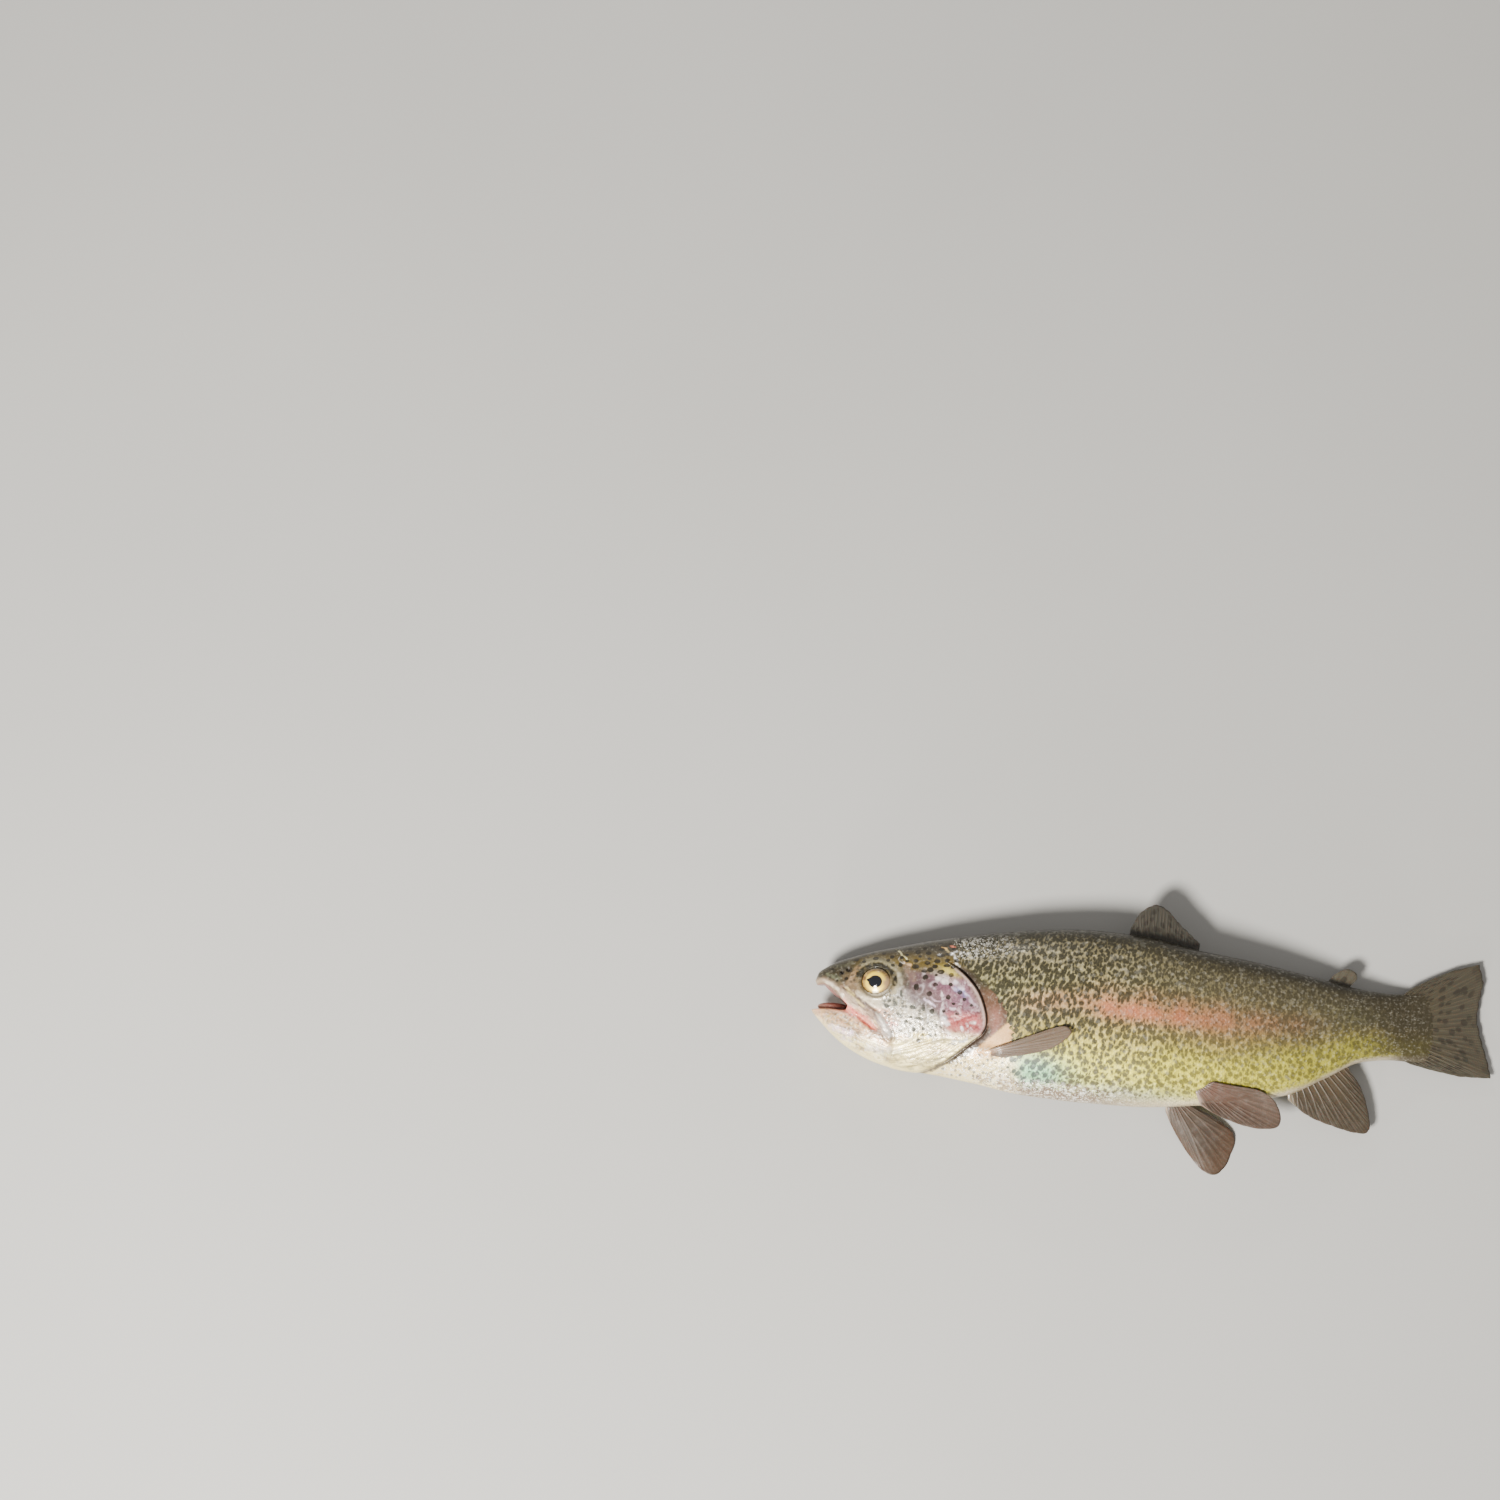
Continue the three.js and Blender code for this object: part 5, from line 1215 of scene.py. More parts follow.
def eye_material():
    N = Nodes("trout_eye")
    e = N.attr("eye_co", "Vector")      # x forward, y up, in eye radii, z out
    sp = N.new("ShaderNodeSeparateXYZ")
    N.link(e, sp.inputs[0])
    x, y = sp.outputs[0], sp.outputs[1]
    r = N.math("SQRT", N.math("ADD", N.math("MULTIPLY", x, x), N.math("MULTIPLY", y, y)))
    nse = N.noise(e, 4.0, 3.0, 0.6)
    # pupil: round, drawn out to a point in front
    px = N.math("ADD", x, -0.01)
    py = N.math("SUBTRACT", y, 0.02)
    pr = N.math("SQRT", N.math("ADD", N.math("MULTIPLY", px, px), N.math("MULTIPLY", N.math("MULTIPLY", py, py), 1.12)))
    beak = N.math("MULTIPLY", N.ramp(px, 0.22, 0.58), N.ramp(N.math("ABSOLUTE", N.math("SUBTRACT", py, 0.12)), 0.20, 0.0))
    pupil = N.ramp(N.math("SUBTRACT", N.math("ADD", 0.455, N.math("MULTIPLY", beak, 0.15)), pr), -0.015, 0.015)
    streak = N.new("ShaderNodeTexNoise", noise_dimensions="3D")
    ang = N.math("ARCTAN2", y, x)
    cb = N.new("ShaderNodeCombineXYZ")
    N.link(N.math("MULTIPLY", N.math("SINE", ang), 3.0), cb.inputs[0])
    N.link(N.math("MULTIPLY", N.math("COSINE", ang), 3.0), cb.inputs[1])
    N.link(N.math("MULTIPLY", r, 0.6), cb.inputs[2])
    N.link(cb.outputs[0], streak.inputs["Vector"])
    streak.inputs["Scale"].default_value = 3.2
    streak.inputs["Detail"].default_value = 5.0
    streak.inputs["Roughness"].default_value = 0.65
    # pale cream ring round the pupil, tan iris mottled with brown, dark outer arc above and behind
    tan = N.mixc(N.ramp(streak.outputs["Fac"], 0.34, 0.66), lin4((0.13, 0.070, 0.020)), lin4((0.46, 0.28, 0.07)))
    iris = N.mixc(N.ramp(N.math("ADD", r, N.math("MULTIPLY", streak.outputs["Fac"], 0.22)), 0.92, 0.70), tan, lin4((0.90, 0.62, 0.035)))
    blotch = N.ramp(nse, 0.52, 0.66)
    outer = N.ramp(r, 0.62, 0.80)
    iris = N.mixc(N.math("MULTIPLY", N.math("MULTIPLY", blotch, outer), 0.55), iris, lin4((0.16, 0.085, 0.030)))
    hind = N.math("MULTIPLY", N.ramp(x, -0.35, -0.85), N.ramp(y, -0.75, -0.10))
    top = N.ramp(N.math("ADD", y, N.math("MULTIPLY", x, -0.25)), 0.45, 0.92)
    iris = N.mixc(N.math("MULTIPLY", N.math("MULTIPLY", N.math("MAXIMUM", hind, top), outer), 0.72), iris, lin4((0.13, 0.085, 0.035)))
    rimd = N.ramp(N.math("ADD", r, N.math("MULTIPLY", nse, 0.10)), 0.93, 1.04)
    iris = N.mixc(N.math("MULTIPLY", rimd, 0.85), iris, lin4((0.035, 0.026, 0.013)))
    notch = N.math("MULTIPLY", N.ramp(N.math("ABSOLUTE", N.math("SUBTRACT", x, 0.74)), 0.18, 0.05), N.ramp(N.math("ABSOLUTE", N.math("SUBTRACT", y, 0.22)), 0.20, 0.05))
    iris = N.mixc(N.math("MULTIPLY", notch, 0.8), iris, lin4((0.10, 0.045, 0.018)))
    # painted highlight: a bright glint below the pupil
    painted_highlight = N.math("MULTIPLY", N.ramp(N.math("ABSOLUTE", N.math("ADD", x, 0.02)), 0.26, 0.10), N.ramp(y, -0.52, -0.66))
    iris = N.mixc(N.math("MULTIPLY", painted_highlight, 0.75), iris, lin4((1.0, 0.93, 0.72)))
    bruise = N.math("MULTIPLY", N.ramp(N.math("ABSOLUTE", N.math("ADD", x, 0.64)), 0.20, 0.04), N.ramp(N.math("ABSOLUTE", N.math("ADD", y, 0.06)), 0.26, 0.06))
    iris = N.mixc(N.math("MULTIPLY", bruise, 0.75), iris, lin4((0.20, 0.085, 0.045)))
    rear = N.math("MULTIPLY", N.ramp(x, -0.25, -0.75), N.ramp(y, 0.60, 0.10))
    iris = N.mixc(N.math("MULTIPLY", rear, 0.55), iris, lin4((0.42, 0.28, 0.17)))
    halo = N.math("MULTIPLY", N.ramp(N.math("SUBTRACT", pr, N.math("MULTIPLY", beak, 0.15)), 0.53, 0.47), 0.5)
    iris = N.mixc(halo, iris, lin4((0.70, 0.50, 0.20)))
    col = N.mixc(pupil, iris, lin4((0.0018, 0.0025, 0.005)))
    N.link(col, N.bsdf.inputs["Base Color"])
    N.link(N.math("MULTIPLY", N.math("SUBTRACT", 1.0, pupil), 0.20), N.bsdf.inputs["Metallic"])
    N.link(N.math("ADD", 0.10, N.math("MULTIPLY", N.math("SUBTRACT", 1.0, pupil), 0.24)), N.bsdf.inputs["Roughness"])
    N.set(Coat_Weight=1.0, Coat_Roughness=0.02, Coat_IOR=1.38)
    N.bump(N.math("MULTIPLY", streak.outputs["Fac"], N.math("SUBTRACT", 1.0, pupil)), 0.25, 0.0001)
    return N.mat


def fin_material(name, base, tip, ray, spots=0.0, lead=None, tint=None, pale=0.0, root=None):
    N = Nodes(name)
    f = N.attr("fin_co", "Vector")       # x across the rays 0..1, y out along them 0..1, z how near a ray's middle
    fc = N.attr("fish_co", "Vector")
    s = N.new("ShaderNodeSeparateXYZ")
    N.link(f, s.inputs[0])
    nz = N.noise(fc, 0.35, 4.0, 0.6)
    n2 = N.noise(fc, 2.4, 3.0, 0.6)
    col = N.mixc(N.ramp(N.math("ADD", s.outputs[1], N.math("MULTIPLY", nz, 0.35)), 0.15, 1.0), lin4(base), lin4(tip))
    rayf = N.ramp(s.outputs[2], 0.25, 0.85)
    seg = N.new("ShaderNodeTexWave", wave_type="BANDS", bands_direction="Y")
    N.link(f, seg.inputs["Vector"])
    seg.inputs["Scale"].default_value = 11.0
    seg.inputs["Distortion"].default_value = 1.5
    rayc = N.mixc(N.math("MULTIPLY", seg.outputs["Fac"], 0.45), lin4(ray), lin4(base))
    col = N.mixc(N.math("MULTIPLY", rayf, 0.60), col, rayc)
    if pale:
        col = N.mixc(N.ramp(nz, 0.42, 0.75, 0.0, pale), col, lin4((0.30, 0.27, 0.25)), "SCREEN")
    col = N.mixc(N.ramp(n2, 0.5, 0.25, 0.0, 0.45), col, lin4((0.45, 0.42, 0.40)), "MULTIPLY")
    if spots:
        sv = N.new("ShaderNodeMapping")
        N.link(N.wobble(f, 6.0, 0.05), sv.inputs["Vector"])
        sv.inputs["Scale"].default_value = (spots[0], spots[1], 1.0)
        d = N.voronoi(sv.outputs[0], 1.0, "F1", 0.85, dim="2D")
        rs = N.split(d.node.outputs["Color"])
        k = N.ramp(N.math("SUBTRACT", N.math("MULTIPLY_ADD", rs[0], 0.14, 0.20), d), -0.05, 0.06)
        k = N.math("MULTIPLY", k, N.ramp(s.outputs[1], 0.98, 0.80, 0.35, spots[2]))
        col = N.mixc(k, col, lin4((0.016, 0.013, 0.009)))
    if lead is not None:
        col = N.mixc(N.math("MULTIPLY", N.ramp(s.outputs[0], 0.10, 0.02), 0.85), col, lin4(lead))
    if root is not None:
        col = N.mixc(N.math("MULTIPLY", N.ramp(N.math("ADD", s.outputs[1], N.math("MULTIPLY", nz, 0.2)), 0.46, 0.12), 0.85), col, lin4(root))
    if tint is not None:
        col = N.mixc(N.math("MULTIPLY", N.ramp(s.outputs[1], 0.50, 0.98), 0.60), col, lin4(tint))
    N.link(col, N.bsdf.inputs["Base Color"])
    N.link(N.ramp(n2, 0.3, 0.7, 0.34, 0.50), N.bsdf.inputs["Roughness"])
    N.set(Coat_Weight=0.18, Coat_Roughness=0.16, Subsurface_Weight=0.12, Subsurface_Scale=0.0015, IOR=1.38)
    N.bump(N.math("ADD", N.math("MULTIPLY", seg.outputs["Fac"], rayf), n2), 0.25, 0.0001)
    return N.mat


MAT_SKIN = fish_material("trout_skin")
MAT_COAT = fish_material("trout_scales", True)
MAT_EYE = eye_material()


# ------------------------------------------------------------------- the skin
def build_skin():
    fine = 0.38
    xs = [-5.2]
    while xs[-1] < 238.4:
        x = xs[-1]
        xs.append(x + (fine if x < 66 else min(fine + (x - 66) * 0.12, 1.15)))
    xs = np.array(xs)
    step = 0.42
    ys = np.arange(-38.6, 31.0, step)
    zs = np.arange(-18.6, 18.61, step)
    zs = zs - zs.mean() + 0.001
    X, Y, Z = xs[:, None, None], ys[None, :, None], zs[None, None, :]
    F = np.empty((len(xs), len(ys), len(zs)), np.float32)
    # the plain body alone decides where the full field is worth working out
    for i0 in range(0, len(xs), 24):
        sl = slice(i0, min(i0 + 24, len(xs)))
        xx = X[sl]
        if xs[sl][0] > 80:
            F[sl] = skin_fields(xx, Y, Z, base_only=True)
        else:
            F[sl] = skin_fields(xx, Y, Z)[0]
    V, Q = surface_nets(F, xs, ys, zs)
    # draw the vertices on to the surface itself
    near = V[:, 0] < 80
    for _ in range(3):
        for mask, fn in ((near, skin_dist), (~near, lambda p: skin_fields(p[:, 0], p[:, 1], p[:, 2], base_only=True))):
            p = V[mask]
            f0 = fn(p)
            e = 0.05
            g = np.stack([(fn(p + np.eye(3)[k] * e) - fn(p - np.eye(3)[k] * e)) / (2 * e) for k in range(3)], 1)
            n2 = np.maximum((g * g).sum(1), 0.15)
            stepv = -(f0 / n2)[:, None] * g
            ln = np.linalg.norm(stepv, axis=1)
            stepv *= np.minimum(1, 0.22 / np.maximum(ln, 1e-9))[:, None]
            V[mask] = p + stepv
    return V, Q


import time
T0 = time.time()
V, Q = build_skin()
print("skin", len(V), len(Q), round(time.time() - T0, 1), "s")


def skin_masks(P):
    u, m, throat, gp = skin_fields(P[:, 0], P[:, 1], P[:, 2])
    inside = sstep(0.6, -0.2, throat) * (P[:, 0] < 26)
    inner = sstep(0.35, -0.1, gp) * sstep(7.5, 5.2, np.abs(P[:, 2])) * (P[:, 0] < 12)
    m["mouth"] = np.clip(np.maximum(inside * (np.abs(P[:, 2]) < 6.5), inner * 0.9), 0, 1)
    return m


skin = make_mesh("trout_skin", V, Q)
me = skin.data
put_paint(me, V, skin_masks(V))
me.materials.append(MAT_SKIN)

# keep the head's detail and thin out the trunk, which the scales cover
vg = skin.vertex_groups.new(name="thin")
w = sstep(64, 80, V[:, 0])
for lvl in range(1, 6):
    idx = np.nonzero((w > (lvl - 1) / 5) & (w <= lvl / 5))[0].tolist()
    if idx:
        vg.add(idx, lvl / 5, "REPLACE")
tri = skin.modifiers.new("tri", "TRIANGULATE")
dec = skin.modifiers.new("thin", "DECIMATE")
dec.ratio = min(1.0, 196000 / (2 * len(Q)))
dec.vertex_group = "thin"
dec.vertex_group_factor = 1.0
dg = bpy.context.evaluated_depsgraph_get()
new = bpy.data.meshes.new_from_object(skin.evaluated_get(dg), preserve_all_data_layers=True, depsgraph=dg)
skin.modifiers.clear()
skin.data = new
me = new
me.polygons.foreach_set("use_smooth", np.ones(len(me.polygons), bool))
print("skin faces", len(me.polygons), round(time.time() - T0, 1), "s")


def unwrap_skin(me):
    """A map of the skin opened along the back: length across, girth up."""
    nl = len(me.loops)
    vi = np.empty(nl, np.int32)
    me.loops.foreach_get("vertex_index", vi)
    P = np.empty(len(me.vertices) * 3, np.float32)
    me.attributes["fish_co"].data.foreach_get("vector", P)
    P = P.reshape(-1, 3).astype(float)
    v = girth_v(P[:, 0], P[:, 1], P[:, 2])
    turn = np.where(P[:, 2] >= 0, v / 2, 1 - v / 2)
    ls = np.empty(len(me.polygons), np.int32)
    lt = np.empty(len(me.polygons), np.int32)
    me.polygons.foreach_get("loop_start", ls)
    me.polygons.foreach_get("loop_total", lt)
    poly = np.repeat(np.arange(len(ls)), lt)
    order = np.argsort(np.repeat(ls, lt) + np.concatenate([np.arange(k) for k in lt]) if False else np.arange(nl))
    U = 0.012 + 0.976 * (P[vi, 0] + 5) / 245.0
    T = turn[vi]
    mx = np.zeros(len(ls))
    mn = np.ones(len(ls))
    np.maximum.at(mx, poly, T)
    np.minimum.at(mn, poly, T)
    wrap = (mx - mn) > 0.5
    T = np.where(wrap[poly] & (T < 0.5), T + 1, T)
    uv = me.uv_layers.new(name="OFBake")
    uv.data.foreach_set("uv", np.stack([U, 0.01 + 0.955 * T], 1).astype(np.float32).ravel())


unwrap_skin(me)
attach(skin, "root")
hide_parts("head", "lower_jaw", "maxilla_left", "maxilla_right", "gill_cover_left", "gill_cover_right", "trunk", "tail_stalk")


# ----------------------------------------------------------------- the scales
ROWS = 42


def scale_roots():
    xs = [44.0]
    while xs[-1] < 235.5:
        x = xs[-1]
        a = max(0.5 * float(GIRTH(x)) / ROWS, 0.52)
        if x < 60:
            a *= 0.78 + 0.22 * (x - 44) / 16
        xs.append(x + a)
    roots = []
    for i, x in enumerate(xs):
        v = (np.arange(ROWS) + (0.25 if i % 2 else 0.75)) / ROWS
        roots.append(np.stack([np.full(ROWS, x), v, np.full(ROWS, i)], 1))
    return np.vstack(roots)


SCALE_OUT = np.array([(0.00, 0.0), (0.06, 0.52), (0.30, 0.92), (0.58, 1.0), (0.82, 0.74), (0.97, 0.34), (1.02, 0.0),
                      (0.97, -0.34), (0.82, -0.74), (0.58, -1.0), (0.30, -0.92), (0.06, -0.52)])


def build_scales(side):
    R = scale_roots()
    rng = np.random.default_rng(11 if side > 0 else 12)
    jit = rng.normal(size=(len(R), 6))
    x = R[:, 0] + 0.05 * jit[:, 0]
    v = np.clip(R[:, 1] + 0.0012 * jit[:, 1], 0.004, 0.996)
    p = surf_point(x, v)
    g, _ = side_of(p[:, 0], p[:, 1], SCALES_FROM)
    keep = g < -0.1 + 0.25 * jit[:, 2]
    # the flesh that runs into the tail fin is scaled only as far as it is thick
    keep &= p[:, 0] < 230.0 + 5.0 * (2 * v - 1) ** 2 + 1.7 * jit[:, 3]
    x, v, jit, p = x[keep], v[keep], jit[keep], p[keep]
    g = -g[keep]
    n = len(x)
    h = GIRTH(x) / ROWS
    a = np.maximum(0.5 * h, 0.52)
    young = 0.62 + 0.38 * sstep(0, 7, g)
    L = 3.1 * a * young * (1 + 0.04 * jit[:, 3])
    W = 0.60 * np.maximum(h, 0.0) * (1.0 + 0.03 * jit[:, 4])
    lift = (0.29 + 0.045 * np.clip(jit[:, 5], -1.6, 1.6)) * np.clip(a / 0.9, 0.55, 1.0) * young
    yaw = 0.05 * jit[:, 2]
    belly = sstep(0.86, 1.0, v)
    lift = lift * (1 - 0.35 * belly)
    k = len(SCALE_OUT)
    P = np.empty((n, k + 2, 3))
    LL = np.empty((n, k + 2))
    UV = np.empty((n, k + 2, 2))
    for j in range(k + 2):
        if j < k:
            l, w = SCALE_OUT[j]
            dome = 0.0
        else:
            l, w = 0.52, 0.0
            dome = 0.055 if j == k else -0.035
        lw = w * W
        ll = l * L
        dx = ll * np.cos(yaw) - lw * np.sin(yaw)
        dg = ll * np.sin(yaw) + lw * np.cos(yaw)
        xj = np.minimum(x + dx, 236.8)
        vj = v * GIRTH(x) / np.maximum(GIRTH(x), 1e-3) + dg / GIRTH(xj)
        over = np.where(vj > 1, -1.0, 1.0) * np.where(vj < 0, -1.0, 1.0)
        vf = np.where(vj > 1, 2 - vj, np.abs(vj))
        q = surf_point(xj, vf)
        e = 0.02
        q1 = surf_point(np.minimum(xj + 0.3, 237.0), vf)
        q0 = surf_point(xj - 0.3, vf)
        r1 = surf_point(xj, np.clip(vf + e, 0, 1))
        r0 = surf_point(xj, np.clip(vf - e, 0, 1))
        tx = q1 - q0
        tv = r1 - r0
        nn = np.cross(tv, tx)
        nn /= np.maximum(np.linalg.norm(nn, axis=1), 1e-9)[:, None]
        bad = nn[:, 2] < -1e-6
        nn[bad] *= np.array([1, 1, -1.0]) if False else 1.0
        q[:, 2] *= over
        nn[:, 2] *= over
        hgt = -0.11 + lift * (0.15 + 0.85 * l) * 1.0 + dome * np.clip(a / 0.9, 0.6, 1) - 0.05 * w * w
        hgt = hgt * young + (1 - young) * -0.02
        P[:, j] = q + nn * hgt[:, None]
        LL[:, j] = l
        UV[:, j, 0] = l - 0.5
        UV[:, j, 1] = w * 0.5
    P[:, :, 2] *= side
    ring = np.arange(k)
    nxt = np.roll(ring, -1)
    top = np.stack([np.full(k, k), nxt, ring], 1)
    bot = np.stack([np.full(k, k + 1), ring, nxt], 1)
    tri = np.vstack([top, bot])
    if side < 0:
        tri = tri[:, ::-1]
    rnd = rng.uniform(size=n)
    root = np.stack([0.012 + 0.976 * (x + 5) / 245.0, 0.02 + 0.96 * v], 1)
    uvp = root[:, None, :] + UV * 0.003
    # each side in a front and a rear half
    half = np.argsort(np.argsort(x, kind="stable"), kind="stable") < n // 2
    for end, part in (("front", half), ("rear", ~half)):
        m = int(part.sum())
        F = (tri[None] + (np.arange(m) * (k + 2))[:, None, None]).reshape(-1, 3)
        PV = P[part].reshape(-1, 3)
        ob = make_mesh("trout_scales_%s_%s" % ("left" if side > 0 else "right", end), PV, F)
        me = ob.data
        put_paint(me, PV)
        attr(me, "scale_l", LL[part].ravel())
        attr(me, "scale_r", np.repeat(rnd[part], k + 2))
        # sharp rim, so that top and underside shade apart
        ev = np.empty(len(me.edges) * 2, np.int32)
        me.edges.foreach_get("vertices", ev)
        ev = ev.reshape(-1, 2) % (k + 2)
        sharp = (ev < k).all(1)
        me.attributes.new("sharp_edge", "BOOLEAN", "EDGE").data.foreach_set("value", sharp)
        vi = np.empty(len(me.loops), np.int32)
        me.loops.foreach_get("vertex_index", vi)
        uv = me.uv_layers.new(name="OFBake")
        uv.data.foreach_set("uv", uvp[part].reshape(-1, 2)[vi].astype(np.float32).ravel())
        me.materials.append(MAT_COAT)
        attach(ob, "root")
        print(ob.name, m, "scales", len(F), "tris", round(time.time() - T0, 1), "s")


build_scales(1)
build_scales(-1)


# -------------------------------------------------------------------- the eyes
def build_eye(side):
    """A closed eyeball: domed, with a low rim where the iris meets the skin and a swelling lens."""
    nr, na = 30, 72
    P, C = [], []
    for i in range(1, nr + 1):
        t = i / nr * math.pi
        rr = math.sin(t)
        zz = math.cos(t)
        for j in range(na):
            a = 2 * math.pi * j / na
            x, y = rr * math.cos(a), rr * math.sin(a)
            z = zz
            if zz > 0:
                # the iris is a shallow cone, the lens stands out of the pupil
                z = 0.92 * zz ** 0.92
                z += 0.055 * math.exp(-((math.hypot(x + 0.02, y - 0.03) - 0.0) / 0.40) ** 4)
                z -= 0.030 * math.exp(-((math.hypot(x, y) - 0.50) / 0.06) ** 2)
            P.append((x, y, z))
            C.append((-x, y, z))
    P = P[:-na]
    C = C[:-na]
    P += [(0, 0, 0.92 + 0.055), (0, 0, -1)]
    C += [(0, 0, 1), (0, 0, -1)]
    top, bottom = len(P) - 2, len(P) - 1
    F = []
    for j in range(na):
        F.append((top, j, (j + 1) % na, (j + 1) % na))
    for i in range(nr - 2):
        for j in range(na):
            a, b = i * na + j, i * na + (j + 1) % na
            F.append((a, a + na, b + na, b))
    last = (nr - 2) * na
    for j in range(na):
        F.append((bottom, last + (j + 1) % na, last + j, last + j))
    P = np.array(P)
    C = np.array(C)
    L = P * np.array([EYE["r"] - 0.02, EYE["ry"] - 0.02, EYE["depth"]])
    ct, st = math.cos(EYE["tilt"]), math.sin(EYE["tilt"])
    # turned a little forward, as in the solids
    W = np.stack([EYE["x"] + L[:, 0] * ct - L[:, 2] * st, EYE["y"] + L[:, 1], EYE["z"] + L[:, 0] * st + L[:, 2] * ct], 1)
    W[:, 2] *= side
    faces = [tuple(dict.fromkeys(f)) for f in F]
    if side < 0:
        faces = [f[::-1] for f in faces]
    me = bpy.data.meshes.new("trout_eye")
    me.from_pydata(to_world(W).tolist(), [], faces)
    me.polygons.foreach_set("use_smooth", np.ones(len(me.polygons), bool))
    me.update()
    attr(me, "eye_co", C)
    name = "left" if side > 0 else "right"
    ob = bpy.data.objects.new("trout_eye_" + name, me)
    bpy.context.scene.collection.objects.link(ob)
    me.materials.append(MAT_EYE)
    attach(ob, "root")
    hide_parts("eye_" + name)
    return ob


build_eye(1)
build_eye(-1)


# -------------------------------------------------------------------- the fins
def curve3(pts, round_=True):
    p = np.asarray(pts, float)
    if round_:
        p = spline(p, 10)
    s = np.concatenate([[0], np.cumsum(np.linalg.norm(np.diff(p, axis=0), axis=1))])
    s /= s[-1]
    return lambda t: np.stack([np.interp(t, s, p[:, k]) for k in range(3)], -1)


def flank_z(x, y):
    """Height of the plain flank over the fish's middle plane; falls away below the belly line."""
    b, l = BACK(x), BELLY(x)
    c = (y - (b + l) / 2) / ((b - l) / 2)
    s = np.clip(1 - np.abs(c) ** POWER, 0, 1) ** (1 / POWER)
    return HALF(x) * (1 - EGG * np.clip(c, -1.2, 1.2)) * s - 6.0 * np.clip(np.abs(c) - 0.97, 0, 1)


def build_fin(name, node, root, edge, rays, thick0, thick1, mat, normal=(0, 0, 1), per=12, rows=38, ragged=0.25, seed=5,
              curl=0.0, ripple=0.15, lead=1.0, side=1, split=0.30, edge_round=True, bow=0.0, hug=0.0):
    """A closed thin fin: rays that fork towards the edge, thin web between, a soft uneven rim."""
    rng = np.random.default_rng(seed)
    N = np.array(normal, float)
    N /= np.linalg.norm(N)
    ns = rays * per + 1
    s = np.linspace(0, 1, ns)
    A = curve3(root, False)(s)
    B = curve3(edge, edge_round)(s)
    ph = s * rays
    centre = np.abs((ph % 1.0) - 0.5) * 2           # 0 on a ray, 1 between rays
    # the rim runs in a little between the rays
    rag = rng.normal(size=rays + 1) * 0.5
    cut = ragged * (centre ** 2 + 0.6 * np.interp(ph, np.arange(rays + 1), np.abs(rag)))
    ln = np.linalg.norm(B - A, axis=1)
    B = A + (B - A) * (1 - cut / np.maximum(ln, 1.0) * sstep(0, 0.05, s) * sstep(1, 0.95, s))[:, None]
    t = np.linspace(0, 1, rows + 1)
    S, T = np.meshgrid(s, t, indexing="ij")
    P = A[:, None, :] + (B - A)[:, None, :] * T[..., None]
    if hug:
        # lifted clear of the flank's scales wherever it would sink into them
        run = T * ln[:, None]
        zb = flank_z(P[..., 0], P[..., 1]) + hug * sstep(1.0, 7.0, run) - 1.2 * sstep(3.2, 0.5, run)
        P[..., 2] = smax(P[..., 2] - 0.9 * sstep(3.2, 0.5, run), zb, 0.5)
    PH = S * rays
    q = PH % 1.0 - 0.5
    f1 = 0.235 * sstep(split, split + 0.45, T)
    f2 = 0.115 * sstep(split + 0.26, 1.0, T)
    w = 0.115 - 0.055 * T
    ridge = np.zeros(q.shape)
    for a1 in (-1, 1):
        for a2 in (-1, 1):
            ridge = np.maximum(ridge, gauss(q - a1 * f1 - a2 * f2, w))
    web = thick1 + (thick0 - thick1) * (1 - T) ** 1.3
    Hh = 0.5 * web * (0.70 + 0.30 * ridge)
    first = gauss(S - 0.012 * lead, 0.02)
    Hh = Hh + 0.5 * 0.30 * first * (1 - 0.6 * T)
    rimd = np.clip((1 - T) * rows / 1.5, 0, 1)
    Hh *= 0.55 + 0.45 * np.sqrt(rimd)
    ends = np.minimum(S, 1 - S) * ns
    Hh *= 0.5 + 0.5 * np.sqrt(np.clip(ends / 3.0, 0, 1))
    wav = ripple * T ** 1.5 * (np.sin(PH * 1.7 + rng.uniform(0, 6)) * 0.6 + np.sin(PH * 0.63 + 1.3 + T * 2) * 0.7)
    off = wav + curl * T ** 2
    up = P + N * (off + Hh)[..., None]
    dn = P + N * (off - Hh)[..., None]
    m, r = S.shape
    V = np.concatenate([up.reshape(-1, 3), dn.reshape(-1, 3)])
    idx = np.arange(m * r).reshape(m, r)
    a, b, c, d = idx[:-1, :-1], idx[1:, :-1], idx[1:, 1:], idx[:-1, 1:]
    F = [np.stack([a, b, c, d], -1).reshape(-1, 4), np.stack([d, c, b, a], -1).reshape(-1, 4) + m * r]
    o = m * r

    def strip(e):
        return np.stack([e[1:], e[:-1], e[:-1] + o, e[1:] + o], -1)

    F += [strip(idx[:, 0]), strip(idx[::-1, -1]), strip(idx[-1, :]), strip(idx[0, ::-1])]
    F = np.vstack(F)
    # outward faces whichever way the outline runs
    tri = V[F[: len(F) // 3, :3]]
    vol = 0.0
    vv = V[F]
    cen = V.mean(0)
    vv = vv - cen
    vol = np.einsum("ij,ij->i", vv[:, 0], np.cross(vv[:, 1], vv[:, 2])).sum() + np.einsum("ij,ij->i", vv[:, 0], np.cross(vv[:, 2], vv[:, 3])).sum()
    if vol < 0:
        F = F[:, ::-1]
    ob = make_mesh(name, V, F)
    me = ob.data
    fco = np.stack([S.ravel(), T.ravel(), ridge.ravel()], 1)
    attr(me, "fin_co", np.vstack([fco, fco]))
    attr(me, "fish_co", V)
    me.materials.append(mat)
    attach(ob, "root")
    if node:
        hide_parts(node)
    return ob


